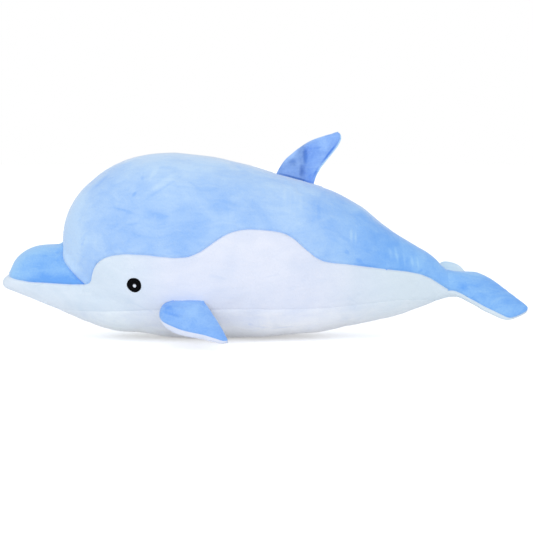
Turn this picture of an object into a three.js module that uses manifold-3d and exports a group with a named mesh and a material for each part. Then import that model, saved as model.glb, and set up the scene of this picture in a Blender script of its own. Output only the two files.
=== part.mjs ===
// A stuffed plush dolphin that lies on its belly: pile fabric panels sewn round loose fibre filling.
// Sizes are millimetres and angles degrees. The beak points to -X, the tail to +X, the floor is Z = 0, and the toy is
// alike on both sides of Y = 0 apart from its tail, which lies turned a little to one side.
import * as THREE from 'three';
import Module from 'manifold-3d';

const wasm = await Module();
wasm.setup();

// Cloth and seams
const clothThickness = 2;
const limbClothThickness = 1.6;
const gap = 0.3;
const sitDepth = 0.5;

// Head and trunk, seen from the side and from above
const foreheadX = -230.5;
const browHeight = 107;
const crownX = -103;
const crownHeight = 211;
const throatHeight = 1;
const shoulderX = -90;
const shoulderHalfWidth = 86;
const stockX = 207;
const stockHeight = 61;
const stockRadius = 17;
const stockHalfWidth = 14;
const trunkPower = 2.3;
const widestShare = 0.45;

// Beak, from the jaw tip before the forehead to where the jaw runs out in the throat
const beakReach = 70;
const beakRootDepth = 90.5;
const jawTipX = foreheadX - beakReach;
const jawTipHeight = 63;
const beakRootX = foreheadX + beakRootDepth;
const beakRootHalfWidth = 65;
const beakRootHeight = 6;
const beakPower = 2.2;

// Eyes
const eyeX = foreheadX + 87.5;
const eyeHeight = 68.4;
const eyeDiameter = 15.6;
const eyeThickness = 1.2;
const glintDiameter = 4.6;
const glintThickness = 0.6;
const glintShiftX = 0.8;

// Flippers
const flipperRootX = -90;
const flipperRootHeight = 47.5;
const flipperRootLength = 46;
const flipperRootRise = 4;
const flipperLength = 51;
const flipperSweep = 47;
const flipperWidth = 54;
const flipperHalfThickness = 10;
const flipperDroop = 51;
const flipperSeamRise = 7;

// Dorsal fin
const finRootX = 32;
const finRootLength = 44;
const finLength = 62.5;
const finSweep = 54.5;
const finHalfThickness = 8.5;

// Tail flukes
const flukeYaw = 27.5;
const flukeSpread = 48.5;
const flukeLength = 92;
const flukeWidth = 52;
const flukeHalfThickness = 9.5;
const flukeSeamRise = 3;
const tailBendUp = 40;
const hubX = 13;
const hubLength = 46;
const hubHeight = 31;
const hubWidth = 34;
const lobeRootX = 7;
const leftLobe = { droop: 15, turn: 38, side: 1 };
const rightLobe = { droop: -6, turn: -24, side: -1 };

// The middle of the whole length, beak tip to tail tip, comes over the origin.
const lengthShift = 3;

// Root seam of a limb: a sewn bead that the limb turns on
const beadRadius = 2;
const pinch = 4;

// How far the trunk's facets lie inside its round form beside a flipper's root
const facetInset = 0.8;

// Facets
const trunkFacets = { rings: 20, sides: 24, innerRings: 14, innerSides: 16 };
const beakFacets = { rings: 10, sides: 16, innerRings: 8, innerSides: 12 };
const limbFacets = { sides: 12, innerSides: 8 };
const sideSeamSteps = 46;
const bellySeamSteps = 12;

const radians = THREE.MathUtils.degToRad;
const lerp = THREE.MathUtils.lerp;
const vector = (x, y, z) => new THREE.Vector3(x, y, z);

// A smooth curve through points given from left to right, which never overshoots them.
function curveThrough(points) {
  const last = points.length - 1;
  const secant = points.slice(1).map(([x, y], i) => (y - points[i][1]) / (x - points[i][0]));
  const slope = points.map((_, i) => {
    if (i === 0 || i === last) return secant[Math.min(i, last - 1)];
    const [a, b] = [secant[i - 1], secant[i]];
    return a * b > 0 ? (2 * a * b) / (a + b) : 0;
  });
  return (x) => {
    let i = 0;
    while (i < last - 1 && x > points[i + 1][0]) i++;
    const [[x0, y0], [x1, y1]] = [points[i], points[i + 1]];
    const t = THREE.MathUtils.clamp((x - x0) / (x1 - x0), 0, 1);
    const bend = (x1 - x0) * t * (1 - t);
    return y0 + (y1 - y0) * t * t * (3 - 2 * t) + bend * (slope[i] * (1 - t) - slope[i + 1] * t);
  };
}

// Height of an ellipse's quarter over its centre, as a share of its own height.
const arcShare = (x, centre, reach) => Math.sqrt(Math.max(0, 1 - ((x - centre) / reach) ** 2));

// A closed solid through sections, each a ring of points or a single point.
function loft(sections) {
  const points = sections.flat();
  const triangles = [];
  let start = 0;
  for (let i = 0; i + 1 < sections.length; i++) {
    const [a, b] = [sections[i].length, sections[i + 1].length];
    for (let k = 0; k < Math.max(a, b); k++) {
      const [a0, a1] = [start + (k % a), start + ((k + 1) % a)];
      const [b0, b1] = [start + a + (k % b), start + a + ((k + 1) % b)];
      if (a > 1) triangles.push([a0, a1, b0]);
      if (b > 1) triangles.push([a1, b1, b0]);
    }
    start += a;
  }
  const volume = triangles.reduce((sum, [p, q, r]) => sum + points[p].dot(points[q].clone().cross(points[r])), 0);
  const outward = volume > 0 ? triangles : triangles.map(([p, q, r]) => [p, r, q]);
  return new wasm.Manifold(new wasm.Mesh({
    numProp: 3,
    vertProperties: Float32Array.from(points.flatMap((p) => p.toArray())),
    triVerts: Uint32Array.from(outward.flat()),
  }));
}

// A ring of points: place() turns the two shares, each from -1 to 1, into a point.
function oval(sides, power, place) {
  const shaped = (value) => Math.sign(value) * Math.abs(value) ** (2 / power);
  return Array.from({ length: sides }, (_, k) => {
    const angle = (2 * Math.PI * k) / sides;
    return place(shaped(Math.cos(angle)), shaped(Math.sin(angle)));
  });
}

// All that lies between a line in the XZ plane and a far level over or under it, from one Y to another.
function beyondLine(line, level, yFrom, yTo) {
  const ring = ([x, z]) => [vector(x, yFrom, z), vector(x, yTo, z), vector(x, yTo, level), vector(x, yFrom, level)];
  const centre = (corners) => [corners[0].clone().add(corners[2]).multiplyScalar(0.5)];
  const rings = line.map(ring);
  return loft([centre(rings[0]), ...rings, centre(rings.at(-1))]);
}

// A box given by its low and high corners, placed by a matrix.
function block(low, high, placed = new THREE.Matrix4()) {
  const corners = (x) => [[low[1], low[2]], [high[1], low[2]], [high[1], high[2]], [low[1], high[2]]]
    .map(([y, z]) => vector(x, y, z).applyMatrix4(placed));
  const centre = (ring) => [ring[0].clone().add(ring[2]).multiplyScalar(0.5)];
  const [front, rear] = [corners(low[0]), corners(high[0])];
  return loft([centre(front), front, rear, centre(rear)]);
}

// A round rod along Y.
function rodAlongY(x, z, radius, yFrom, yTo, sides) {
  const ring = (y) => oval(sides, 2, (c, s) => vector(x + radius * c, y, z + radius * s));
  return loft([[vector(x, yFrom, z)], ring(yFrom), ring(yTo), [vector(x, yTo, z)]]);
}

const far = 400;

// Trunk: its ridge and belly lines from the side and its flank line from above. The head is a quarter ellipse each
// way, and the tail stock ends in a round of the stock's own radius, on which the flukes turn.
const stockTop = stockHeight + stockRadius;
const stockBottom = stockHeight - stockRadius;
const overTrunk = (share) => lerp(crownX, stockX, share);
const ridgeLine = curveThrough([
  [0, 1], [0.094, 0.977], [0.255, 0.902], [0.426, 0.789], [0.507, 0.732], [0.594, 0.654], [0.69, 0.523],
  [0.823, 0.274], [0.903, 0.16], [0.955, 0.096], [1, 0],
].map(([along, level]) => [overTrunk(along), lerp(stockTop, crownHeight, level)]));
const bellyLine = curveThrough([
  [0, throatHeight], [0.074, -sitDepth], [0.284, -sitDepth], [0.397, 0.055 * stockBottom],
  [0.52, 0.125 * stockBottom], [0.58, 0.2 * stockBottom], [0.703, 0.4 * stockBottom], [0.826, 0.6 * stockBottom],
  [0.9, 0.79 * stockBottom], [0.955, 0.91 * stockBottom], [1, stockBottom],
].map(([along, z]) => [overTrunk(along), z]));
const flankLine = curveThrough([
  [0, 1], [0.145, 0.986], [0.313, 0.903], [0.485, 0.764], [0.677, 0.5], [0.818, 0.292], [0.926, 0.097], [1, 0],
].map(([along, width]) => [lerp(shoulderX, stockX, along), lerp(stockHalfWidth, shoulderHalfWidth, width)]));
const trunk = {
  top(x) {
    if (x > stockX) return stockHeight + stockRadius * arcShare(x, stockX, stockRadius);
    if (x > crownX) return ridgeLine(x);
    return browHeight + (crownHeight - browHeight) * arcShare(x, crownX, crownX - foreheadX);
  },
  bottom(x) {
    if (x > stockX) return stockHeight - stockRadius * arcShare(x, stockX, stockRadius);
    if (x > crownX) return bellyLine(x);
    return browHeight - (browHeight - throatHeight) * arcShare(x, crownX, crownX - foreheadX);
  },
  half(x) {
    if (x > shoulderX) return flankLine(x);
    return shoulderHalfWidth * arcShare(x, shoulderX, shoulderX - foreheadX);
  },
  widest(x) {
    return lerp(this.bottom(x), this.top(x), widestShare);
  },
};

// Beak and jaw: the beak's crown above the mouth line and the jaw's slope below it.
const beakTopLine = curveThrough([
  [0, 0], [0.036, 0.09], [0.084, 0.16], [0.159, 0.364], [0.24, 0.545], [0.336, 0.693], [0.464, 0.83],
  [0.611, 0.927], [0.764, 0.96], [1, 1], [2, 1],
].map(([along, level]) => [lerp(jawTipX, foreheadX, along), lerp(jawTipHeight, browHeight, level)]));
const overJaw = (share) => lerp(jawTipX, beakRootX, share);
const jawLine = curveThrough([
  [0, 1], [0.019, 0.903], [0.128, 0.772], [0.277, 0.579], [0.427, 0.404], [0.526, 0.289], [0.651, 0.158],
  [0.757, 0.067], [0.863, 0.009], [1, 0],
].map(([along, level]) => [overJaw(along), lerp(beakRootHeight, jawTipHeight, level)]));
const cheekLine = curveThrough([
  [0, 0], [0.022, 0.138], [0.065, 0.262], [0.128, 0.369], [0.252, 0.492], [0.436, 0.631], [0.626, 0.815],
  [0.813, 0.954], [1, 1],
].map(([along, width]) => [overJaw(along), width * beakRootHalfWidth]));
const beak = {
  top: beakTopLine,
  bottom: jawLine,
  half: cheekLine,
  widest: (x) => lerp(jawLine(x), beakTopLine(x), widestShare),
};

// A swelling form along X between two places, every surface moved out by grow, or in where grow is negative.
function bodyForm(form, xFrom, xTo, facets, power, grow) {
  const [rings, sides] = grow < 0 ? [facets.innerRings, facets.innerSides] : [facets.rings, facets.sides];
  const sections = [];
  for (let i = 0; i <= rings; i++) {
    const share = (1 - Math.cos((Math.PI * i) / rings)) / 2;
    const x = lerp(xFrom, xTo, share);
    const at = lerp(xFrom - grow, xTo + grow, share);
    const middle = form.widest(x);
    const up = Math.max(form.top(x) - middle + grow, gap);
    const down = Math.max(middle - form.bottom(x) + grow, gap);
    const half = Math.max(form.half(x) + grow, gap);
    const ring = oval(sides, power, (c, s) => vector(at, c * half, middle + s * (s > 0 ? up : down)));
    if (i === 0 || i === rings) {
      sections.push([vector(at, 0, middle)]);
    } else {
      sections.push(ring);
    }
  }
  return loft(sections);
}

const stockEndX = stockX + stockRadius;
const trunkForm = (grow) => bodyForm(trunk, foreheadX, stockEndX, trunkFacets, trunkPower, grow);
const beakForm = (grow) => bodyForm(beak, jawTipX, beakRootX, beakFacets, beakPower, grow);

// The seam between the white side panels and everything blue runs along the mouth, up behind the beak, round the eye
// and back over the flank to the tail. The seam of the belly panel lies below it. Both are drawn as they look from
// the side: the mouth's points from the jaw tip, the flank's as shares of the trunk's length and height.
const onMouth = (along, rise) => new THREE.Vector2(lerp(jawTipX, foreheadX, along), jawTipHeight + rise);
const onFlank = (along, level) => new THREE.Vector2(lerp(foreheadX, stockEndX, along), level * crownHeight);
const linePoints = (points, steps) => new THREE.SplineCurve(points).getPoints(steps).map((p) => [p.x, p.y]);
const sideSeam = linePoints([
  onMouth(-0.03, 9), onMouth(0.1, 7), onMouth(0.22, 5), onMouth(0.49, 3.2), onMouth(0.95, 2.4),
  onFlank(0.052, 0.313), onFlank(0.075, 0.32), onFlank(0.084, 0.384), onFlank(0.107, 0.444), onFlank(0.14, 0.476),
  onFlank(0.171, 0.484), onFlank(0.223, 0.481), onFlank(0.289, 0.468), onFlank(0.322, 0.472), onFlank(0.351, 0.498),
  onFlank(0.4, 0.573), onFlank(0.47, 0.616), onFlank(0.518, 0.608), onFlank(0.557, 0.59), onFlank(0.605, 0.508),
  onFlank(0.65, 0.441), onFlank(0.71, 0.422), onFlank(0.793, 0.393), onFlank(0.857, 0.373), onFlank(0.892, 0.356),
  onFlank(0.919, 0.332), onFlank(0.941, 0.3), onFlank(0.96, 0.27), onFlank(1.005, 0.227),
], sideSeamSteps);
const bellySeam = linePoints([
  onFlank(-0.07, 0.147), onFlank(0.067, 0.166), onFlank(0.206, 0.184), onFlank(0.404, 0.194), onFlank(0.591, 0.19),
  onFlank(0.672, 0.189), onFlank(0.754, 0.204), onFlank(0.837, 0.218), onFlank(0.914, 0.208), onFlank(0.963, 0.18),
  onFlank(1.005, 0.161),
], bellySeamSteps);

const shifted = (line, dz) => line.map(([x, z]) => [x, z + dz]);
const half = gap / 2;
const aboveSideSeam = (yFrom, yTo) => beyondLine(shifted(sideSeam, half), far, yFrom, yTo);
const belowSideSeam = (yFrom, yTo) => beyondLine(shifted(sideSeam, -half), -far, yFrom, yTo);
const aboveBellySeam = (yFrom, yTo) => beyondLine(shifted(bellySeam, half), far, yFrom, yTo);
const belowBellySeam = (yFrom, yTo) => beyondLine(shifted(bellySeam, -half), -far, yFrom, yTo);
const floorBlock = block([-far, -far, -far], [far, far, 0]);

// Trunk and beak shells
const trunkOuter = trunkForm(0).subtract(floorBlock);
const trunkInner = trunkForm(-clothThickness);
const beakOuter = beakForm(0);
const beakInner = beakForm(-clothThickness);
const skin = trunkOuter.add(beakOuter).subtract(trunkInner.add(beakInner));
const headSkin = trunkOuter.subtract(trunkInner).subtract(beakForm(gap));
const beakSkin = beakOuter.subtract(beakInner).subtract(trunkForm(gap));
const frontPart = block([-far, -far, -far], [bellySeam[0][0], far, far]);
const flankPart = (yFrom, yTo) => belowSideSeam(yFrom, yTo).intersect(aboveBellySeam(-far, far).add(frontPart));

// The filling is one clump in the trunk and one in the beak.
const fillingShrink = -(clothThickness + gap);
const bodyFilling = trunkForm(fillingShrink);
const beakFilling = beakForm(fillingShrink).subtract(trunkForm(fillingShrink + gap));

// Eyes: round patches that follow the cheek, each with its glint on top.
function eyePatch(side, x, diameter, from, thickness, sides) {
  const rod = rodAlongY(x, eyeHeight, diameter / 2, side < 0 ? -far : 0, side < 0 ? 0 : far, sides);
  return trunkForm(from + thickness).subtract(trunkForm(from)).intersect(rod);
}

// Pieces and their colours
const paleBlue = new THREE.MeshStandardMaterial({ color: 0xa8cbfb, roughness: 0.95 });
const beakBlue = new THREE.MeshStandardMaterial({ color: 0x7db6fb, roughness: 0.95 });
const finBlue = new THREE.MeshStandardMaterial({ color: 0x8bbaf8, roughness: 0.95 });
const white = new THREE.MeshStandardMaterial({ color: 0xe4e9f6, roughness: 0.95 });
const fibre = new THREE.MeshStandardMaterial({ color: 0xf4f4f2, roughness: 1 });
const blackThread = new THREE.MeshStandardMaterial({ color: 0x0a0a0e, roughness: 0.6 });
const whiteThread = new THREE.MeshStandardMaterial({ color: 0xf2f4f4, roughness: 0.6 });

function piece(name, solid, material) {
  const { vertProperties, triVerts, numProp } = solid.getMesh();
  const geometry = new THREE.BufferGeometry();
  const count = vertProperties.length / numProp;
  const position = new Float32Array(count * 3);
  for (let i = 0; i < count; i++) position.set(vertProperties.subarray(i * numProp, i * numProp + 3), i * 3);
  geometry.setAttribute('position', new THREE.BufferAttribute(position, 3));
  geometry.setIndex(Array.from(triVerts));
  geometry.computeVertexNormals();
  const mesh = new THREE.Mesh(geometry, material);
  mesh.name = name;
  return mesh;
}

const dolphin = new THREE.Group();
dolphin.add(
  piece('body_filling', bodyFilling, fibre),
  piece('beak_filling', beakFilling, fibre),
  piece('left_back_panel', headSkin.intersect(aboveSideSeam(-far, -half)), paleBlue),
  piece('right_back_panel', headSkin.intersect(aboveSideSeam(half, far)), paleBlue),
  piece('left_side_panel', skin.intersect(flankPart(-far, -half)), white),
  piece('right_side_panel', skin.intersect(flankPart(half, far)), white),
  piece('belly_panel', skin.intersect(belowBellySeam(-far, far)), white),
  piece('beak_top_panel', beakSkin.intersect(aboveSideSeam(-far, far)), beakBlue),
);
for (const [name, side] of [['left', -1], ['right', 1]]) {
  dolphin.add(
    piece(`${name}_eye`, eyePatch(side, eyeX, eyeDiameter, gap, eyeThickness, 20), blackThread),
    piece(
      `${name}_eye_glint`,
      eyePatch(side, eyeX + glintShiftX, glintDiameter, eyeThickness + 2 * gap, glintThickness, 12),
      whiteThread,
    ),
  );
}

// Limbs. A limb's own frame has its chord along X, its thickness along Y and its length along Z, with the root
// seam's bead round X at the origin. Outlines give where the front and rear edges lie along the length.
function limbForm(limb, grow) {
  const hollow = grow < 0;
  const from = hollow ? pinch - grow : -beadRadius;
  const shares = hollow ? [0, 0.1, 0.25, 0.42, 0.6, 0.76, 0.89, 0.97] : limb.shares;
  const sections = shares.map((share) => {
    const z = lerp(from, limb.length + grow, share);
    const along = z - grow * share;
    const [front, rear] = [limb.front(along), limb.rear(along)];
    const middle = (front + rear) / 2;
    const chord = Math.max((rear - front) / 2 + grow, gap);
    const thick = Math.max(limb.thick(along) + grow, gap / 2);
    const sides = hollow ? limbFacets.innerSides : limbFacets.sides;
    return oval(sides, 2, (c, s) => vector(middle + c * chord, s * thick, z).applyMatrix4(limb.placed));
  });
  const cap = (z, along) => [vector((limb.front(along) + limb.rear(along)) / 2, 0, z).applyMatrix4(limb.placed)];
  return loft([cap(from, from), ...sections, cap(limb.length + grow, limb.length)]);
}

// Thickness along a limb: a round bead at the root, a quick swell, and a soft taper to the tip.
function swell(length, thickness) {
  const body = curveThrough([
    [0, beadRadius], [0.08 * length, beadRadius + 0.32 * (thickness - beadRadius)],
    [0.3 * length, thickness], [0.6 * length, 0.9 * thickness], [0.85 * length, 0.62 * thickness],
    [0.95 * length, 0.36 * thickness], [length, 0],
  ]);
  return (z) => (z < 0 ? beadRadius * arcShare(z, 0, beadRadius) : body(z));
}

const rootShares = (length) => {
  const whole = length + beadRadius;
  const atRoot = [0.03, 0.5, 1].map((share) => (share * beadRadius) / whole);
  const along = [0.06, 0.14, 0.25, 0.4, 0.56, 0.7, 0.82, 0.91, 0.97];
  return [...atRoot, ...along.map((share) => (beadRadius + share * length) / whole)];
};

// All that lies on one side of a limb's edge seam. The seam leaves the root in the limb's middle plane and then
// tilts, so that along the front edge it lies on the top side by rise.
function besideEdgeSeam(limb, rise, offset, level) {
  const reach = 2 * limb.width;
  const rings = [-far, 0, 0.25, 0.5, 0.75, 0.9, 1, far].map((share, i) => {
    const along = THREE.MathUtils.clamp(share, 0, 1) * limb.length;
    const middle = (limb.front(along) + limb.rear(along)) / 2;
    const lift = i < 2 ? 0 : ((2 * rise) / limb.width) * reach;
    const z = Math.abs(share) > 1 ? share : along;
    return [[-reach, lift + offset], [0, offset], [reach, offset - lift], [reach, level], [0, level], [-reach, level]]
      .map(([x, y]) => vector(middle + x, y, z).applyMatrix4(limb.placed));
  });
  const centre = (ring) => [ring[1].clone().add(ring[4]).multiplyScalar(0.5)];
  return loft([centre(rings[0]), ...rings, centre(rings.at(-1))]);
}
const overSeam = (limb, rise) => besideEdgeSeam(limb, rise, half, far);
const underSeam = (limb, rise) => besideEdgeSeam(limb, rise, -half, -far);

// Shell and filling of a limb: the two panels meet round its edge. The top panel lies towards +Y where topSide is 1.
function limbPieces(limb, seamRise, topSide, names, materials) {
  const shell = limbForm(limb, 0).subtract(limbForm(limb, -limbClothThickness));
  const [upper, lower] = [overSeam(limb, topSide * seamRise), underSeam(limb, topSide * seamRise)];
  const [top, under] = topSide > 0 ? [upper, lower] : [lower, upper];
  return [
    piece(names[0], limbForm(limb, -limbClothThickness - gap), fibre),
    piece(names[1], shell.intersect(top), materials[0]),
    piece(names[2], shell.intersect(under), materials[1]),
  ];
}

// A point on the trunk's side at a given X and Z, and the trunk's outward direction there.
function sidePoint(x, z, side) {
  const middle = trunk.widest(x);
  const reach = z > middle ? trunk.top(x) - middle : middle - trunk.bottom(x);
  const share = Math.min(Math.abs((z - middle) / reach), 1);
  return vector(x, side * trunk.half(x) * (1 - share ** trunkPower) ** (1 / trunkPower), z);
}
function sideNormal(x, z, side) {
  const step = 1;
  const alongX = sidePoint(x + step, z, side).sub(sidePoint(x - step, z, side));
  const alongZ = sidePoint(x, z + step, side).sub(sidePoint(x, z - step, side));
  const normal = alongX.cross(alongZ).normalize();
  return normal.y * side > 0 ? normal : normal.negate();
}

// How far a curved seat rises over the straight line between its two ends, along a direction.
function bulge(seat, outward) {
  const [start, end] = [seat(0), seat(1)];
  const rises = Array.from({ length: 11 }, (_, i) => {
    const onLine = start.clone().lerp(end, i / 10);
    return seat(i / 10).sub(onLine).dot(outward);
  });
  return Math.max(0, ...rises);
}

// Places a limb's group: origin on its root seam, +X along the seam and +Z along the limb.
function limbGroup(origin, along, outward) {
  const group = new THREE.Group();
  const across = outward.clone().cross(along).normalize();
  group.position.copy(origin);
  group.quaternion.setFromRotationMatrix(new THREE.Matrix4().makeBasis(along, across, outward));
  return group;
}

// Flippers
const flipper = {
  length: flipperLength,
  width: flipperWidth,
  placed: new THREE.Matrix4(),
  shares: rootShares(flipperLength),
  front: curveThrough([
    [-beadRadius, -flipperRootLength / 2], [0, -flipperRootLength / 2], [0.14 * flipperLength, -flipperWidth / 2],
    [0.4 * flipperLength, -0.43 * flipperWidth], [0.6 * flipperLength, -0.3 * flipperWidth],
    [0.76 * flipperLength, -0.06 * flipperWidth], [0.88 * flipperLength, 0.3 * flipperWidth],
    [0.96 * flipperLength, 0.66 * flipperWidth], [flipperLength, flipperSweep],
  ]),
  rear: curveThrough([
    [-beadRadius, flipperRootLength / 2], [0, flipperRootLength / 2], [0.14 * flipperLength, flipperWidth / 2 + 2],
    [0.4 * flipperLength, flipperWidth / 2 + 9], [0.7 * flipperLength, flipperSweep - 2],
    [0.9 * flipperLength, flipperSweep + 3.5], [0.97 * flipperLength, flipperSweep + 3], [flipperLength, flipperSweep],
  ]),
  thick: swell(flipperLength, flipperHalfThickness),
};
for (const [name, side] of [['left', -1], ['right', 1]]) {
  const seat = (share) => sidePoint(
    flipperRootX + (share - 0.5) * flipperRootLength,
    flipperRootHeight + (share - 0.5) * flipperRootRise,
    side,
  );
  const [start, end] = [seat(0), seat(1)];
  const along = end.clone().sub(start).normalize();
  const normal = sideNormal(flipperRootX, flipperRootHeight, side);
  const standOff = beadRadius + gap + bulge(seat, normal) - facetInset;
  const origin = start.clone().lerp(end, 0.5).addScaledVector(normal, standOff);
  const up = vector(0, 0, 1).addScaledVector(along, -along.z).normalize();
  const out = up.clone().cross(along).multiplyScalar(side).normalize();
  const outward = out.multiplyScalar(Math.cos(radians(flipperDroop)))
    .addScaledVector(up, -Math.sin(radians(flipperDroop)));
  const group = limbGroup(origin, along, outward);
  group.add(...limbPieces(
    flipper,
    flipperSeamRise,
    -side,
    [`${name}_flipper_filling`, `${name}_flipper_top_panel`, `${name}_flipper_under_panel`],
    [finBlue, white],
  ));
  dolphin.add(group);
}

// Dorsal fin
const fin = {
  length: finLength,
  width: finRootLength,
  placed: new THREE.Matrix4(),
  shares: rootShares(finLength),
  front: curveThrough([
    [-beadRadius, 0], [0, 0], [0.17 * finLength, 4.4], [0.33 * finLength, 10], [0.55 * finLength, 20],
    [0.67 * finLength, 27], [0.79 * finLength, 36], [0.89 * finLength, 46], [0.97 * finLength, 53], [finLength, finSweep],
  ].map(([z, x]) => [z, x - finRootLength / 2])),
  rear: curveThrough([
    [-beadRadius, finRootLength], [0, finRootLength], [0.12 * finLength, finRootLength + 0.8],
    [0.35 * finLength, finRootLength + 4.2], [0.55 * finLength, finRootLength + 10.5],
    [0.77 * finLength, finSweep + 1.3], [0.89 * finLength, finSweep + 4], [0.97 * finLength, finSweep + 4],
    [finLength, finSweep],
  ].map(([z, x]) => [z, x - finRootLength / 2])),
  thick: swell(finLength, finHalfThickness),
};
{
  const seat = (share) => {
    const x = finRootX + (share - 0.5) * finRootLength;
    return vector(x, 0, trunk.top(x));
  };
  const along = seat(1).sub(seat(0)).normalize();
  const outward = vector(0, 1, 0).cross(along).negate();
  const origin = seat(0).lerp(seat(1), 0.5).addScaledVector(outward, beadRadius + gap + bulge(seat, outward));
  const group = limbGroup(origin, along, outward);
  group.add(...limbPieces(
    fin,
    0,
    1,
    ['dorsal_fin_filling', 'dorsal_fin_right_panel', 'dorsal_fin_left_panel'],
    [finBlue, finBlue],
  ));
  dolphin.add(group);
}

// Flukes: two lobes spread from a round hub that caps the end of the tail stock. The tail lies turned by flukeYaw, so
// the left lobe points back and droops while the right one points away. Their frame has its origin in the stock's end.
const flukes = new THREE.Group();
flukes.position.set(stockX, 0, stockHeight);
const lobe = ({ droop, turn, side }) => {
  const azimuth = radians(flukeYaw - side * flukeSpread);
  const [fall, roll] = [radians(droop), radians(turn)];
  const outward = vector(Math.cos(azimuth) * Math.cos(fall), Math.sin(azimuth) * Math.cos(fall), -Math.sin(fall));
  const level = vector(-Math.sin(azimuth), Math.cos(azimuth), 0).multiplyScalar(side);
  const up = outward.clone().cross(level).multiplyScalar(side);
  const chord = level.clone().multiplyScalar(Math.cos(roll)).addScaledVector(up, Math.sin(roll));
  const normal = up.clone().multiplyScalar(Math.cos(roll)).addScaledVector(level, -Math.sin(roll));
  const placed = new THREE.Matrix4().makeBasis(chord, normal, outward).setPosition(vector(lobeRootX, 0, 0));
  return {
    length: flukeLength,
    width: flukeWidth,
    placed,
    shares: [0, 0.1, 0.22, 0.36, 0.5, 0.64, 0.76, 0.86, 0.93, 0.98],
    front: curveThrough([
      [-beadRadius, -0.2 * flukeWidth], [0.12 * flukeLength, -0.37 * flukeWidth],
      [0.37 * flukeLength, -0.43 * flukeWidth], [0.55 * flukeLength, -0.47 * flukeWidth],
      [0.74 * flukeLength, -0.47 * flukeWidth], [0.87 * flukeLength, -0.4 * flukeWidth],
      [0.95 * flukeLength, -0.27 * flukeWidth], [flukeLength, -0.1 * flukeWidth],
    ]),
    rear: curveThrough([
      [-beadRadius, 0.25 * flukeWidth], [0.12 * flukeLength, 0.44 * flukeWidth],
      [0.3 * flukeLength, 0.52 * flukeWidth], [0.45 * flukeLength, 0.43 * flukeWidth],
      [0.6 * flukeLength, 0.24 * flukeWidth], [0.78 * flukeLength, 0.06 * flukeWidth],
      [0.93 * flukeLength, -0.04 * flukeWidth], [flukeLength, -0.1 * flukeWidth],
    ]),
    thick: curveThrough([
      [-beadRadius, 1.35 * flukeHalfThickness], [0.15 * flukeLength, 1.25 * flukeHalfThickness],
      [0.4 * flukeLength, flukeHalfThickness], [0.7 * flukeLength, 0.78 * flukeHalfThickness],
      [0.9 * flukeLength, 0.48 * flukeHalfThickness], [flukeLength, 0],
    ]),
  };
};
const lobes = { left: lobe(leftLobe), right: lobe(rightLobe) };
const hubForm = (grow) => {
  const rings = 8;
  const sections = Array.from({ length: rings + 1 }, (_, i) => {
    const angle = (Math.PI * i) / rings;
    const x = hubX - (hubLength / 2 + grow) * Math.cos(angle);
    if (i === 0 || i === rings) return [vector(x, 0, 0)];
    const [across, high] = [hubWidth / 2 + grow, hubHeight / 2 + grow].map((radius) => radius * Math.sin(angle));
    return oval(16, 2, (c, s) => vector(x, c * across, s * high));
  });
  return loft(sections);
};
const flukeForm = (grow) => hubForm(grow).add(limbForm(lobes.left, grow)).add(limbForm(lobes.right, grow));
// Room for the stock's round end, and for its back once the tail is bent up over it.
const stockRoom = (clearance) => [0.35, 0.55, 0.75, 1].reduce(
  (room, share) => room.add(
    trunkForm(clearance).translate([-stockX, 0, -stockHeight]).rotate([0, share * tailBendUp, 0]),
  ),
  rodAlongY(0, 0, stockRadius + clearance, -far, far, 32),
);
const flukeSkin = flukeForm(0).subtract(flukeForm(-limbClothThickness)).subtract(stockRoom(gap));
const flukeFilling = flukeForm(-limbClothThickness - gap).subtract(stockRoom(gap + limbClothThickness));
const turnedTo = new THREE.Matrix4().makeRotationZ(radians(flukeYaw));
for (const [name, limb] of Object.entries(lobes)) {
  const mine = name === 'left'
    ? block([-far, -far, -far], [far, -half, far], turnedTo)
    : block([-far, half, -far], [far, far, far], turnedTo);
  flukes.add(
    piece(`${name}_fluke_filling`, flukeFilling.intersect(mine), fibre),
    piece(`${name}_fluke_top_panel`, flukeSkin.intersect(mine).intersect(overSeam(limb, flukeSeamRise)), paleBlue),
    piece(`${name}_fluke_under_panel`, flukeSkin.intersect(mine).intersect(underSeam(limb, flukeSeamRise)), white),
  );
}
dolphin.add(flukes);
dolphin.position.x = lengthShift;

export default dolphin;
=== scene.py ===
"""A stuffed plush dolphin in Blender: pile fabric panels sewn over a soft filling. Lengths are millimetres
unless a name says otherwise, and MM turns them to Blender's metres."""
import math

import bmesh
import bpy
import numpy as np
from mathutils import Matrix, Vector
from mathutils.bvhtree import BVHTree
from mathutils.kdtree import KDTree


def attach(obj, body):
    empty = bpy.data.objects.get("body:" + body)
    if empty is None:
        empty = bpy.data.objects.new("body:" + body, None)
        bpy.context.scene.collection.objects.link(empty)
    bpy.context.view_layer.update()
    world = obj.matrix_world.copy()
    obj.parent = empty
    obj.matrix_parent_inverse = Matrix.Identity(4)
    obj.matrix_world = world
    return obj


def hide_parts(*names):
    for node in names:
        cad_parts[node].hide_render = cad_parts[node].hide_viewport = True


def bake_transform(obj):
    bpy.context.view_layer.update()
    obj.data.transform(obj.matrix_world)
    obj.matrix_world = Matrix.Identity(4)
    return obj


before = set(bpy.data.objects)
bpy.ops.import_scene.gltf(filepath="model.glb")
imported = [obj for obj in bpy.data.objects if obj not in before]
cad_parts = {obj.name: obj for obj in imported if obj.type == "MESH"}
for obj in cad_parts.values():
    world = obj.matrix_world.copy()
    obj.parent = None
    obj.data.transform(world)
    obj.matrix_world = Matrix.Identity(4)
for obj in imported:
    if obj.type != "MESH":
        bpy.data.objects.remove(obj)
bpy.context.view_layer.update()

# The stuffed form. The trunk, the beak and the root of the flukes are one sewn bag, blown up tight by its
# filling, so they are shaped as one closed skin here. The panels further down are cut out of it along their
# seams.
MM = 0.001
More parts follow.
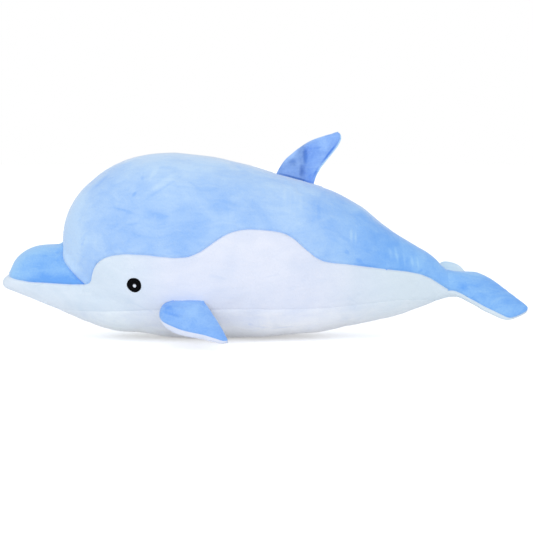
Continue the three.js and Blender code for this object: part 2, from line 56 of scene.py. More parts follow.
# The finished form is moved along X by this much, so that the middle of its length lies over the model's
# origin
LENGTH_SHIFT = 3.0
FOREHEAD_X, BROW_Z = -231.2, 107.0
CROWN_X, CROWN_Z, THROAT_Z = -103.0, 211.0, 1.0
SHOULDER_X, SHOULDER_HALF = -90.0, 86.0
STOCK_X, STOCK_Z, STOCK_RADIUS = 207.0, 61.0, 17.0
TRUNK_POWER, BEAK_POWER, WIDEST_SHARE = 2.3, 2.2, 0.45
JAW_TIP_X, BEAK_ROOT_X, FOREHEAD_POWER = -302.4, -140.0, 2.12
SKIN_VOXEL = 1.7


def curve_through(points):
    """A smooth curve through points given from left to right, which never overshoots them."""
    xs, ys = np.array(points, float).T
    secant = np.diff(ys) / np.diff(xs)
    slope = np.zeros(len(xs))
    slope[0], slope[-1] = secant[0], secant[-1]
    for i in range(1, len(xs) - 1):
        a, b = secant[i - 1], secant[i]
        slope[i] = 2 * a * b / (a + b) if a * b > 0 else 0.0

    def at(x):
        i = np.clip(np.searchsorted(xs, x) - 1, 0, len(xs) - 2)
        step = xs[i + 1] - xs[i]
        t = np.clip((x - xs[i]) / step, 0, 1)
        return (ys[i] * (1 + 2 * t) * (1 - t) ** 2 + slope[i] * step * t * (1 - t) ** 2
                + ys[i + 1] * t * t * (3 - 2 * t) - slope[i + 1] * step * t * t * (1 - t))

    return at


def arc_share(x, centre, reach, power=2.0):
    """Height of an ellipse's quarter over its centre, as a share of its own height."""
    return np.maximum(0, 1 - np.abs((x - centre) / reach) ** power) ** (1 / power)


ridge_line = curve_through([
    (-103, 211), (-73.9, 207.9), (-24, 198), (29.1, 182.9), (54.2, 175.4), (81.1, 165), (103, 153.9),
    (112, 148.6), (124, 138), (130, 132.5), (152.1, 117), (165, 109.4), (176.9, 102.4), (193.1, 92.6),
    (207, 78)])
belly_line = curve_through([
    (-103, 1), (-80.1, -0.5), (-15, -0.5), (20.1, 2.4), (58.2, 5.5), (76.8, 8.8), (114.9, 16.8), (153.1, 25),
    (176, 33.6), (193.1, 39.3), (207, 44)])
flank_line = curve_through([
    (-90, 86), (-46.9, 85), (3, 79), (54, 69), (111.1, 50), (152.9, 35), (185, 21), (207, 14)])
beak_top_line = curve_through([
    (-302.4, 63), (-300.5, 67), (-297, 70.4), (-293.5, 73.5), (-290, 80), (-286.7, 86.6), (-281, 93),
    (-275.2, 97.6), (-266, 102.2), (-257.7, 104.6), (-247, 105.8), (-230.5, 107), (-160.5, 107)])
jaw_line = curve_through([
    (-302.4, 63), (-301, 58), (-298, 55.6), (-286.7, 51.6), (-275, 47), (-256, 39), (-232, 29),
    (-216.1, 22.5), (-196, 15), (-179, 9.8), (-162, 6.5), (-140, 6)])
cheek_line = curve_through([
    (-302.4, 0), (-299, 9.5), (-292, 17), (-280, 24), (-260, 32), (-230.5, 41), (-200, 53), (-170, 62),
    (-140, 65)])


def trunk_top(x):
    head = BROW_Z + (CROWN_Z - BROW_Z) * arc_share(x, CROWN_X, CROWN_X - FOREHEAD_X, FOREHEAD_POWER)
    end = STOCK_Z + STOCK_RADIUS * arc_share(x, STOCK_X, STOCK_RADIUS)
    return np.where(x > STOCK_X, end, np.where(x > CROWN_X, ridge_line(x), head))


def trunk_bottom(x):
    head = BROW_Z - (BROW_Z - THROAT_Z) * arc_share(x, CROWN_X, CROWN_X - FOREHEAD_X)
    end = STOCK_Z - STOCK_RADIUS * arc_share(x, STOCK_X, STOCK_RADIUS)
    return np.where(x > STOCK_X, end, np.where(x > CROWN_X, belly_line(x), head))


def trunk_half(x):
    head = SHOULDER_HALF * arc_share(x, SHOULDER_X, SHOULDER_X - FOREHEAD_X)
    return np.where(x > SHOULDER_X, flank_line(x), head)


def eased(count):
    """Shares from 0 to 1 that crowd together towards both ends."""
    return (1 - np.cos(np.linspace(0, math.pi, count))) / 2


def oval(sides, power):
    """Across and up shares of a ring's points, each from -1 to 1."""
    angle = np.linspace(0, 2 * math.pi, sides, endpoint=False)
    c, s = np.cos(angle), np.sin(angle)
    return np.sign(c) * np.abs(c) ** (2 / power), np.sign(s) * np.abs(s) ** (2 / power)


def closed_loft(rings):
    """A closed bmesh through rings of points in mm. The first and last ring are shrunk to a point."""
    rings = np.array(rings, float)
    for ring in (rings[0], rings[-1]):
        ring[:] = ring.mean(0)
    bm = bmesh.new()
    rows = [[bm.verts.new(point * MM) for point in ring] for ring in rings]
    sides = len(rows[0])
    for a, b in zip(rows, rows[1:]):
        for k in range(sides):
            n = (k + 1) % sides
            bm.faces.new((a[k], a[n], b[n], b[k]))
    bmesh.ops.remove_doubles(bm, verts=bm.verts[:], dist=1e-7)
    bmesh.ops.recalc_face_normals(bm, faces=bm.faces[:])
    return bm


def swelling_form(x_from, x_to, top, bottom, half, power, rings=180, sides=160):
    """Rings of a form along X that swells between its top, bottom and half-width lines."""
    across, up = oval(sides, power)
    out = []
    for x in x_from + (x_to - x_from) * eased(rings):
        t, b = float(top(x)), float(bottom(x))
        middle = b + WIDEST_SHARE * (t - b)
        height = np.where(up > 0, t - middle, middle - b)
        out.append(np.stack([np.full(sides, x), across * float(half(x)), middle + up * height], 1))
    return out


# The flukes lie turned to the toy's right. The hub is the egg of cloth at the end of the stock from which both
# lobes grow. Each lobe is drawn flat, as chord and distance from its root.
FLUKE_YAW, FLUKE_SPREAD = math.radians(27.5), math.radians(48.5)
HUB_X, HUB_LENGTH, HUB_HEIGHT, HUB_WIDTH, LOBE_ROOT_X = 13.0, 46.0, 31.0, 34.0, 7.0
HUB_SIDES, HUB_RINGS = 48, 40
# The power of a limb's lens section, and the most that it may be thick, as a share of its width
LENS_EDGE, MOST_THICK = 0.62, 0.4
FLUKE_ORIGIN = np.array([STOCK_X, 0, STOCK_Z])
LOBE_TIP = (-4, 93.4)
lobe_front = [(-10, -3), (-15.6, 9.1), (-17.6, 15), (-21.4, 26), (-24.2, 42), (-26.9, 58), (-28.6, 68),
              (-27.4, 76), (-22.7, 82), (-16, 86.6), (-9.8, 90.6), LOBE_TIP]
lobe_rear = [(12, -3), (24, 6.2), (27.6, 14.4), (27.8, 25), (24, 41.6), (16.2, 59), (8.4, 75.5), (2, 88),
             (-0.4, 92), LOBE_TIP]
lobe_thick = [(0, 12.8), (0.1, 12), (0.25, 10.8), (0.45, 9.4), (0.65, 8.2), (0.85, 6.4), (1, 4.4)]


def lobe_frame(droop, turn, side):
    """A fluke lobe's place by its droop and turn in degrees: columns chord, normal and outward, and root."""
    azimuth = FLUKE_YAW - side * FLUKE_SPREAD
    fall, roll = math.radians(droop), math.radians(turn)
    level_reach = math.cos(fall)
    outward = np.array([math.cos(azimuth) * level_reach, math.sin(azimuth) * level_reach, -math.sin(fall)])
    level = side * np.array([-math.sin(azimuth), math.cos(azimuth), 0])
    up = side * np.cross(outward, level)
    chord = level * math.cos(roll) + up * math.sin(roll)
    normal = up * math.cos(roll) - level * math.sin(roll)
    return np.stack([chord, normal, outward], 1), FLUKE_ORIGIN + [LOBE_ROOT_X, 0, 0]


def smooth_line(points, count):
    """Points evenly spread along a smooth curve through given points."""
    points = np.array(points, float)
    padded = np.vstack([2 * points[0] - points[1], points, 2 * points[-1] - points[-2]])
    fine = []
    for a, b, c, d in zip(padded, padded[1:], padded[2:], padded[3:]):
        t = np.linspace(0, 1, 24, endpoint=False)[:, None]
        fine.append(0.5 * (2 * b + (c - a) * t + (2 * a - 5 * b + 4 * c - d) * t ** 2
                           + (3 * b - a - 3 * c + d) * t ** 3))
    fine = np.vstack([*fine, points[-1:]])
    run = np.concatenate([[0], np.cumsum(np.linalg.norm(np.diff(fine, axis=0), axis=1))])
    at = (count if np.ndim(count) else np.linspace(0, 1, count)) * run[-1]
    return np.stack([np.interp(at, run, fine[:, k]) for k in range(fine.shape[1])], 1)


def limb_form(front, rear, thick, turned, origin, rings=100, sides=120):
    """Rings of a flat stuffed limb between its front and rear edge lines, each from root to tip. thick
    gives the half thickness along it. A section is a lens, because two flat panels are sewn together round
    the edge."""
    angle = np.linspace(0, 2 * math.pi, sides, endpoint=False)
    across, up = np.cos(angle), np.sign(np.sin(angle)) * np.abs(np.sin(angle)) ** (2 * LENS_EDGE)
    share = eased(rings)
    f, r = smooth_line(front, share), smooth_line(rear, share)
    half_thick = np.minimum(curve_through(thick)(share), MOST_THICK * np.linalg.norm(f - r, axis=1))
    out = []
    for a, b, t in zip(f, r, half_thick):
        flat = (a + b) / 2 + across[:, None] * (b - a) / 2
        out.append(np.stack([flat[:, 0], up * t, flat[:, 1]], 1) @ turned.T + origin)
    return out


left_lobe, right_lobe = lobe_frame(15, 38, 1), lobe_frame(-5, -24, -1)
hub_across, hub_up = oval(HUB_SIDES, 2)
hub_rings = [
    np.stack([np.full(HUB_SIDES, STOCK_X + HUB_X - HUB_LENGTH / 2 * math.cos(angle)),
              hub_across * HUB_WIDTH / 2 * math.sin(angle),
              STOCK_Z + hub_up * HUB_HEIGHT / 2 * math.sin(angle)], 1)
    for angle in np.linspace(0, math.pi, HUB_RINGS)]
swellings = [
    swelling_form(FOREHEAD_X, STOCK_X + STOCK_RADIUS, trunk_top, trunk_bottom, trunk_half, TRUNK_POWER),
    swelling_form(JAW_TIP_X, BEAK_ROOT_X, beak_top_line, jaw_line, cheek_line, BEAK_POWER, 120, 120),
    hub_rings,
    limb_form(lobe_front, lobe_rear, lobe_thick, *left_lobe),
    limb_form(lobe_front, lobe_rear, lobe_thick, *right_lobe)]


def mesh_of(bm, name):
    """A bmesh's copy as a new mesh."""
    mesh = bpy.data.meshes.new(name)
    bm.to_mesh(mesh)
    return mesh


whole = bmesh.new()
for rings in swellings:
    part = closed_loft(rings)
    loose = mesh_of(part, "swelling")
    whole.from_mesh(loose)
    part.free()
    bpy.data.meshes.remove(loose)
whole_mesh = mesh_of(whole, "stuffed_form")
whole.free()


def placed(name, data):
    """A new object in the scene."""
    thing = bpy.data.objects.new(name, data)
    bpy.context.scene.collection.objects.link(thing)
    return thing


def evaluated(holder):
    """The holder's mesh after its modifiers, as a new plain mesh. The holder and its own mesh are removed."""
    graph = bpy.context.evaluated_depsgraph_get()
    graph.update()
    result = bpy.data.meshes.new_from_object(holder.evaluated_get(graph))
    before = holder.data
    bpy.data.objects.remove(holder)
    bpy.data.meshes.remove(before)
    return result


def settled(mesh, kind, **values):
    """The mesh after one modifier of a kind, with its settings."""
    holder = placed("holder", mesh)
    modifier = holder.modifiers.new(kind, kind)
    for key, value in values.items():
        setattr(modifier, key, value)
    return evaluated(holder)


def remeshed(mesh, voxel):
    """The mesh as one closed skin of even squares of a size in mm."""
    return settled(mesh, "REMESH", mode="VOXEL", voxel_size=voxel * MM, adaptivity=0.0)


whole_mesh = remeshed(whole_mesh, SKIN_VOXEL)


def smoothed(points, edges, rounds, weight=None):
    """Points after each has been drawn halfway to the middle of its neighbours, or less by its own weight."""
    a, b = edges.T
    count = np.bincount(np.concatenate([a, b]), minlength=len(points))[:, None]
    pull = 0.5 if weight is None else 0.5 * weight[:, None]
    points = points.copy()
    for _ in range(rounds):
        total = np.stack([
            np.bincount(a, points[b, k], len(points)) + np.bincount(b, points[a, k], len(points))
            for k in range(3)], 1)
        points += pull * (total / np.maximum(count, 1) - points)
    return points


def mesh_points(mesh, what="co"):
    """A mesh's corners in mm, or their normals."""
    values = np.empty(len(mesh.vertices) * 3, dtype=np.float32)
    mesh.vertices.foreach_get(what, values)
    return values.reshape(-1, 3).astype(float) / (MM if what == "co" else 1)


def mesh_edges(mesh):
    """The pairs of corners that a mesh's edges join."""
    pairs = np.empty(len(mesh.edges) * 2, dtype=np.int32)
    mesh.edges.foreach_get("vertices", pairs)
    return pairs.reshape(-1, 2).astype(np.int64)


def read_skin(bm):
    """Points in mm, normals and edges of a bmesh, as arrays."""
    bm.verts.index_update()
    loose = mesh_of(bm, "loose")
    found = mesh_points(loose), mesh_points(loose, "normal"), mesh_edges(loose)
    bpy.data.meshes.remove(loose)
    return found


def move_skin(bm, points):
    """Puts a bmesh's corners at points in mm."""
    for vert, place in zip(bm.verts, (points * MM).tolist()):
        vert.co = place


def put_points(mesh, points):
    """Puts a mesh's corners at points in mm."""
    mesh.vertices.foreach_set("co", (points * MM).ravel())
    mesh.update()


def ramp(value, low, high):
    """0 below low, 1 above high and a soft slope between."""
    t = np.clip((value - low) / (high - low), 0, 1)
    return t * t * (3 - 2 * t)


def far_from_line(points, line):
    """Each 2-D point's distance to a line of points."""
    line = np.array(line, float)
    best = np.full(len(points), 1e9)
    for a, b in zip(line, line[1:]):
        along = b - a
        t = np.clip(((points - a) @ along) / (along @ along), 0, 1)
        best = np.minimum(best, np.linalg.norm(points - a - t[:, None] * along, axis=1))
    return best


# Seams as they look from the side, X and Z. The side seam runs along the mouth, up behind the beak, round
# the eye and back over the flank; the belly seam lies low on the flank, and the beak seam goes round the
# forehead's foot.
side_seam = [
    (-330, 76), (-302.6, 75.5), (-296, 74), (-292.5, 71.4), (-285.1, 68.6), (-266.2, 66.2), (-251, 65.8),
    (-234, 65.4), (-216, 65.2), (-207, 66), (-198.5, 66.2), (-195.4, 67.4), (-194.2, 71), (-192.8, 77),
    (-190.8, 83.5), (-187, 89.6), (-182.3, 94), (-175.3, 98), (-166.9, 100.4), (-152.8, 102.1),
    (-129, 101.5), (-114, 99.9), (-99, 98.7), (-84, 99.6), (-70.9, 105), (-59.9, 112.9), (-48.7, 120.9),
    (-38.3, 126.3), (-28, 129), (-16.9, 130), (4.9, 128.3), (14, 126.8), (22.6, 124.5), (31.8, 118.9),
    (44.5, 107.2), (55.4, 98), (64.9, 93), (78, 90.6), (92.2, 89), (129.9, 82.9), (158.9, 78.7),
    (174.8, 75.1), (187.1, 70), (197.1, 63.3), (205.8, 57), (240, 34)]
belly_seam = [
    (-262.3, 31), (-230, 33.4), (-200, 35), (-168, 36.6), (-136.8, 38.8), (-120, 39.3), (-85, 40.3),
    (-47.5, 40.9), (-8, 40.9), (37.6, 40), (74.5, 39.9), (112.3, 43), (150, 46), (185, 43.9), (207.6, 38),
    (240, 30)]
beak_seam = [
    (-232, 140), (-231, 107.2), (-230, 100.8), (-227.7, 93.5), (-223.6, 87), (-218, 81), (-211.5, 74),
    (-204.5, 68), (-200, 64), (-190, 55)]


# Taut cloth bridges the hollows where two swellings meet. It is drawn smooth a little everywhere, most
# where the jaw runs out in the throat below the mouth line, in a narrow band at the forehead's foot, and
# round the stock.
def throat(points):
    x, _, z = points.T
    below_mouth = np.interp(x, *np.array(side_seam).T) - z
    return ramp(x, -262, -236) * ramp(-x, 110, 140) * ramp(below_mouth, -2, 6)


def forehead_foot(points):
    return (1 - ramp(far_from_line(points[:, [0, 2]], beak_seam), 4, 9)) * ramp(-points[:, 0], 185, 195)


def stock(points):
    return ramp(points[:, 0], 178, 200) * (1 - ramp(points[:, 0], 232, 246))


skin_edges = mesh_edges(whole_mesh)
skin_points = smoothed(mesh_points(whole_mesh), skin_edges, 8)
for hollow, rounds in ((throat, 160), (forehead_foot, 14), (stock, 60)):
    skin_points = smoothed(skin_points, skin_edges, rounds, hollow(skin_points))
put_points(whole_mesh, skin_points)
skin = bmesh.new()
skin.from_mesh(whole_mesh)
bpy.data.meshes.remove(whole_mesh)
# Corners up to this share of an edge away from a cut are drawn onto it, so that no splinters are left
NEAR_CUT = 0.35


def cut_along(bm, panels, level, low, high):
    """Cuts the faces of some panels where level is 0. What lies below becomes panel low, the rest panel high.
    Edges and corners are taken in their own order, so that every run cuts alike."""
    value = level(read_skin(bm)[0])
    edges = list(dict.fromkeys(e for f in bm.faces if f.material_index in panels for e in f.edges))
    nearest = {}
    for e in edges:
        for vert, other in (e.verts, reversed(e.verts)):
            a, b = value[vert.index], value[other.index]
            if a * b < 0 and not vert.tag:
                share = a / (a - b)
                if share < NEAR_CUT and share < nearest.get(vert, (1,))[0]:
                    nearest[vert] = (share, vert.co.lerp(other.co, share))
    for vert, (_, place) in nearest.items():
        vert.co = place
        value[vert.index] = 0
    on_line = list(dict.fromkeys(v for e in edges for v in e.verts if value[v.index] == 0))
    for e in edges:
        a, b = (value[v.index] for v in e.verts)
        if a * b < 0:
            on_line.append(bmesh.utils.edge_split(e, e.verts[0], a / (a - b))[1])
    bmesh.ops.connect_verts(bm, verts=on_line)
    for vert in on_line:
        vert.tag = True
    value = level(read_skin(bm)[0])
    for vert in on_line:
        value[vert.index] = 0
    for face in [f for f in bm.faces if f.material_index in panels]:
        face.material_index = low if sum(value[v.index] for v in face.verts) < 0 else high


def over_line(line):
    """Level over a line in the side view: its distance, counted negative below."""
    xs, zs = np.array(line).T

    def level(points):
        return (np.where(points[:, 2] > np.interp(points[:, 0], xs, zs), 1, -1)
                * far_from_line(points[:, [0, 2]], line))

    return level


def behind_line(line):
    """Level behind an upright line in the side view: its distance, counted negative in front."""
    xs, zs = np.array(sorted(line, key=lambda p: p[1])).T

    def level(points):
        side = np.where(points[:, 0] > np.interp(points[:, 2], zs, xs), 1, -1)
        return side * far_from_line(points[:, [0, 2]], line)

    return level


def edge_level(turned, origin, front, rear, rise, climbs, drops):
    """Level over a limb's edge seam. It lies round the edge, but along the front edge it climbs onto the
    top side by rise and drops back before the tip. Both slopes are given by their distances from the
    root."""
    front, rear = smooth_line(front, 40), smooth_line(rear, 40)

    def level(points):
        own = (points - origin) @ turned
        flat = own[:, [0, 2]]
        to_front, to_rear = far_from_line(flat, front), far_from_line(flat, rear)
        nearer = np.maximum(0, (to_rear - to_front) / (to_rear + to_front + 1e-6))
        climb = ramp(own[:, 2], *climbs) * (1 - ramp(own[:, 2], *drops))
        return own[:, 1] - rise * climb * nearer

    return level


# Panels, by the number that their faces carry. All faces start out as BODY.
BODY, FLUKES, WHITE, BELLY, BEAK, LEFT_BACK, RIGHT_BACK, LEFT_SIDE, RIGHT_SIDE, BACK = range(10)
LEFT_FLUKE, RIGHT_FLUKE, LEFT_FLUKE_TOP, LEFT_FLUKE_UNDER, RIGHT_FLUKE_TOP, RIGHT_FLUKE_UNDER = range(10, 16)
ANY_PANEL = set(range(16))
FLUKE_SEAM_X = 208.0
cut_along(skin, {BODY}, lambda p: p[:, 0] - FLUKE_SEAM_X, BODY, FLUKES)
cut_along(skin, {BODY}, over_line(side_seam), WHITE, BACK)
cut_along(skin, {WHITE}, over_line(belly_seam), BELLY, WHITE)
for face in skin.faces:
    if face.material_index == BELLY and face.calc_center_median().x / MM < belly_seam[0][0]:
        face.material_index = WHITE
cut_along(skin, {BACK}, behind_line(beak_seam), BEAK, BACK)
cut_along(skin, {BACK}, lambda p: p[:, 1], LEFT_BACK, RIGHT_BACK)
cut_along(skin, {WHITE}, lambda p: p[:, 1], LEFT_SIDE, RIGHT_SIDE)
cut_along(skin, {FLUKES}, lambda p: p[:, 1] * math.cos(FLUKE_YAW) - (p[:, 0] - STOCK_X) * math.sin(FLUKE_YAW),
          LEFT_FLUKE, RIGHT_FLUKE)
for whole_lobe, lobe, rise, climbs, under, top in (
        (LEFT_FLUKE, left_lobe, 4.4, (-22, -6), LEFT_FLUKE_UNDER, LEFT_FLUKE_TOP),
        (RIGHT_FLUKE, right_lobe, -2.0, (0, 20), RIGHT_FLUKE_UNDER, RIGHT_FLUKE_TOP)):
    seam = edge_level(*lobe, lobe_front, lobe_rear, rise, climbs, (66, 84))
    cut_along(skin, {whole_lobe}, seam, under, top)
skin.verts.index_update()


def seam_kinds(bm):
    """The corners on each seam, by the two panels that meet there."""
    found = {}
    for e in bm.edges:
        pair = frozenset(f.material_index for f in e.link_faces)
        if len(pair) == 2:
            found.setdefault(pair, set()).update(v.index for v in e.verts)
    return found


def seam_corners(bm):
    """The corners on any seam."""
    return sorted(set().union(*seam_kinds(bm).values()))


def ease_beside_seams(bm, rounds):
    """Evens out the faces beside the seams, and each seam's own line, without leaving the surface."""
    points, _, edges = read_skin(bm)
    on_seam = np.zeros(len(points))
    seam_edges = np.array([[v.index for v in e.verts] for e in bm.edges
                           if len({f.material_index for f in e.link_faces}) == 2])
    on_seam[seam_edges.ravel()] = 1
    near = on_seam.copy()
    for _ in range(2):
        spread = near.copy()
        np.maximum.at(spread, edges[:, 0], near[edges[:, 1]])
        np.maximum.at(spread, edges[:, 1], near[edges[:, 0]])
        near = spread
    degree = np.bincount(seam_edges.ravel(), minlength=len(points))
    points = smoothed(points, seam_edges, rounds, (degree == 2).astype(float))
    move_skin(bm, smoothed(points, edges, rounds, near * (1 - on_seam)))


def soft_noise(points, wavelength, seed):
    """A smooth random height for each point, about -1 to 1, whose bumps are about one wavelength apart."""
    waves = 40
    random = np.random.default_rng(seed)
    direction = random.normal(size=(waves, 3))
    direction /= np.linalg.norm(direction, axis=1)[:, None]
    pace = 2 * math.pi / (wavelength * random.uniform(0.8, 1.6, waves))
    phase = random.uniform(0, 2 * math.pi, waves)
    return np.sin(points @ (direction * pace[:, None]).T + phase).sum(1) / math.sqrt(waves)


def tree_of(points):
    """A search tree over points."""
    tree = KDTree(len(points))
    for i, point in enumerate(points):
        tree.insert(point, i)
    tree.balance()
    return tree


def distance_to(points, targets, reach):
    """Distance from each point to the nearest of some targets, up to reach."""
    out = np.full(len(points), reach, float)
    tree = tree_of(targets)
    low, high = targets.min(0) - reach, targets.max(0) + reach
    for i in np.nonzero(np.all((points > low) & (points < high), axis=1))[0]:
        out[i] = min(reach, tree.find(points[i])[2])
    return out


PUCKERS = 0.3


def sew(bm, seams):
    """Draws the skin in along its seams, as thread does: a soft groove with small puckers beside it, and in
    its middle the thread's own pull. Each seam has the depth and width of its groove, and that pull."""
    points, normals, _ = read_skin(bm)
    depth_here = np.zeros(len(points))
    bumps = soft_noise(points, 9, 11)
    for pair, on_seam in seam_kinds(bm).items():
        depth, width, pull = next(sizes for panels, sizes in seams if pair <= panels)
        away = distance_to(points, points[sorted(on_seam)], 3 * width)
        inside = np.clip(1 - away / width, 0, 1)
        groove = depth * (1 - np.sqrt(1 - inside ** 2)) + pull * np.exp(-away ** 2)
        pucker = PUCKERS * depth * ramp(-away, -3 * width, -0.5 * width) * bumps
        depth_here = np.maximum(depth_here, groove) + np.where(away < 3 * width, 0.5 * pucker, 0)
    move_skin(bm, points - normals * depth_here[:, None])


def crease(bm, folds, lip=0.35):
    """Presses soft folds into the skin, each along its line of points by its width and depth, with the
    cloth heaped up a little on both sides."""
    points, normals, _ = read_skin(bm)
    sunk = np.zeros(len(points))
    for line, width, depth in folds:
        line = np.array(line, float)
        low, high = line.min(0) - 4 * width, line.max(0) + 4 * width
        near = np.nonzero(np.all((points > low) & (points < high), axis=1))[0]
        away = far_from_line(points[near], line) / width
        ends = np.minimum(np.linalg.norm(points[near] - line[0], axis=1),
                          np.linalg.norm(points[near] - line[-1], axis=1)) / width
        fold = np.exp(-away ** 2) - lip * np.exp(-((away - 1.7) / 0.8) ** 2)
        sunk[near] += depth * ramp(ends, 0.2, 2.2) * fold
    move_skin(bm, points - normals * sunk[:, None])


CLOTH_VOXEL, CLOTH_FRAMES, WRINKLE_SHARE = 5.5, 20, 0.4


def wrinkled(bm, pressure, limit):
    """How far a cloth simulation moves each corner in mm: a coarse copy of the skin, held at its seams and
    where it lies on the ground, is blown up by its filling. Only the wrinkles are kept, because the form is
    right already."""
    coarse = remeshed(mesh_of(bm, "coarse_skin"), CLOTH_VOXEL)
    edges = mesh_edges(coarse)
    rest = smoothed(mesh_points(coarse), edges, 2)
    put_points(coarse, rest)
    points, _, _ = read_skin(bm)
    # Held at the seams, on the ground and from the tail stock backwards
    held = 1 - ramp(distance_to(rest, points[seam_corners(bm)], 16), 4, 14)
    held = np.maximum(held, 1 - ramp(rest[:, 2], 2, 8))
    held = np.maximum(held, ramp(rest[:, 0], 196, 206))
    holder = placed("coarse_skin", coarse)
    group = holder.vertex_groups.new(name="held")
    for step in range(1, 11):
        group.add(np.nonzero(np.round(held * 10) == step)[0].tolist(), step / 10, "REPLACE")
    cloth = holder.modifiers.new("cloth", "CLOTH")
    settings = cloth.settings
    settings.quality = 5
    settings.mass = 0.3
    settings.tension_stiffness = settings.compression_stiffness = 12
    settings.shear_stiffness = 6
    settings.bending_stiffness = 0.3
    settings.use_pressure = True
    settings.uniform_pressure_force = pressure
    settings.shrink_min = -0.02
    settings.vertex_group_mass = "held"
    settings.pin_stiffness = 2
    settings.effector_weights.gravity = 0
    cloth.collision_settings.use_collision = False
    cloth.point_cache.frame_start, cloth.point_cache.frame_end = 1, CLOTH_FRAMES
    for frame_number in range(1, CLOTH_FRAMES + 1):
        bpy.context.scene.frame_set(frame_number)
    graph = bpy.context.evaluated_depsgraph_get()
    blown = mesh_points(holder.evaluated_get(graph).to_mesh())
    bpy.context.scene.frame_set(1)
    shift = smoothed(blown - rest, edges, 1)
    shift -= smoothed(shift, edges, 60) * 0.85
    size = np.linalg.norm(shift, axis=1)[:, None]
    shift *= np.minimum(1, limit / np.maximum(size, 1e-6))
    bpy.data.objects.remove(holder)
    bpy.data.meshes.remove(coarse)
    tree = tree_of(rest)
    out = np.zeros_like(points)
    for i, place in enumerate(points):
        total, weight = np.zeros(3), 0.0
        for _, k, gap in tree.find_n(place, 5):
            share = 1 / (gap + 1.0) ** 2
            total += share * shift[k]
            weight += share
        out[i] = total / weight
    return out


ease_beside_seams(skin, 6)
move_skin(skin, read_skin(skin)[0] + WRINKLE_SHARE * wrinkled(skin, pressure=4.0, limit=2.0))
sew(skin, [
    ({LEFT_BACK, RIGHT_BACK}, (0.6, 4.0, 0.4)),
    ({BEAK, LEFT_BACK, RIGHT_BACK}, (2.4, 8.5, 1.0)),
    ({BEAK, LEFT_SIDE, RIGHT_SIDE}, (1.1, 5.0, 0.9)),
    ({LEFT_BACK, RIGHT_BACK, LEFT_SIDE, RIGHT_SIDE}, (1.0, 5.5, 1.1)),
    ({LEFT_SIDE, RIGHT_SIDE, BELLY}, (0.5, 4.5, 0.1)),
    ({LEFT_FLUKE_TOP, RIGHT_FLUKE_TOP, LEFT_FLUKE_UNDER, RIGHT_FLUKE_UNDER}, (0.9, 4.5, 0.5)),
    (ANY_PANEL, (0.2, 5.0, 0.0)),
])
# Folds that the photograph shows, each with its width and depth: pulls below the dorsal fin, over the cheek
# and chin, behind the flipper and on the stock, and the back drawn in round the dorsal fin's root
fin_root = [(34.5 - 24 * math.cos(turn), 0.8 + 5.4 * math.sin(turn)) for turn in np.linspace(0, math.pi, 13)]
body_folds = [
    ([(19.5, 20, 184), (21.8, 35, 176), (25, 45, 163)], 4.5, 0.8),
    ([(31, 20, 182), (35, 35, 171), (41, 45, 158)], 5.0, 0.9),
    ([(-196, 48, 55), (-182.6, 60, 51), (-168, 66, 50.4)], 4.0, 0.8),
    ([(-138, 78, 52.6), (-125.4, 84, 50.2), (-113, 84, 50.7)], 4.5, 1.0),
    ([(-46, 80, 36), (-34, 80, 44), (-22, 80, 50)], 6.0, 1.2),
    ([(167, 28, 101), (166, 31, 92), (165, 32, 80)], 3.5, 0.7),
    ([(178, 25, 96), (177, 28, 88), (176, 29, 77)], 3.5, 0.7),
    ([(x, y, float(ridge_line(x)) - 0.5) for x, y in fin_root], 2.6, 2.0)]
crease(skin, [(np.array(line) * [1, side, 1], width, depth)
              for side in (-1, 1) for line, width, depth in body_folds])
# Lumps of filling under the cloth, which are weaker on the tail
skin_points, skin_normals, _ = read_skin(skin)
calm = 1 - 0.8 * ramp(skin_points[:, 0], 120, 170)
swell = 0.5 * soft_noise(skin_points, 85, 3) + 0.2 * soft_noise(skin_points, 30, 4)
skin_points += skin_normals * (calm * swell)[:, None]
# The ridge sinks where the dorsal fin is caught in its seam, and nothing lies below the table
at_fin = ramp(skin_points[:, 0], -4, 16) * (1 - ramp(skin_points[:, 0], 52, 76)) * (skin_points[:, 2] > 100)
skin_points[:, 2] -= 1.8 * at_fin * np.exp(-(skin_points[:, 1] / 13) ** 2)
skin_points[:, 0] += LENGTH_SHIFT
skin_points[:, 2] = np.maximum(skin_points[:, 2], 0)
move_skin(skin, skin_points)


def skin_piece(bm, panel, name, cloth):
    """One panel of the skin as its own closed piece of cloth, of the given thickness, shaded smooth."""
    mine = bm.copy()
    bmesh.ops.delete(mine, geom=[f for f in mine.faces if f.material_index != panel], context="FACES")
    for face in mine.faces:
        face.material_index = 0
        face.smooth = True
    mesh = settled(mesh_of(mine, name), "SOLIDIFY", thickness=cloth * MM, offset=-1.0, use_rim=True)
    mine.free()
    mesh.set_sharp_from_angle(angle=math.radians(55))
    mesh.name = name
    return placed(name, mesh)


# Back panels: two mirrored pieces of pale blue plush, sewn together along the ridge of the back. The fabric
# is a polyester knit with a short dense pile, sewn inside out and turned, so no thread shows in its seams.


def linear(code):
    """A linear colour with alpha from an sRGB hex value."""
    channels = [int(code[i:i + 2], 16) / 255 for i in (1, 3, 5)]
    return (*[c / 12.92 if c <= 0.04045 else ((c + 0.055) / 1.055) ** 2.4 for c in channels], 1.0)


def add(tree, kind, settings=None, *inputs, **sockets):
    """Adds a node, sets its properties, and sets or links its inputs, in their order or by name."""
    node = tree.nodes.new(kind)
    for key, value in (settings or {}).items():
        setattr(node, key, value)
    usable = [socket for socket in node.inputs if socket.enabled]
    by_name = [(next(s for s in usable if s.name.lower() == key.replace("_", " ").lower()), value)
               for key, value in sockets.items()]
    for socket, value in [*zip(usable, inputs), *by_name]:
        if isinstance(value, bpy.types.NodeSocket):
            tree.links.new(value, socket)
        else:
            socket.default_value = value
    return node


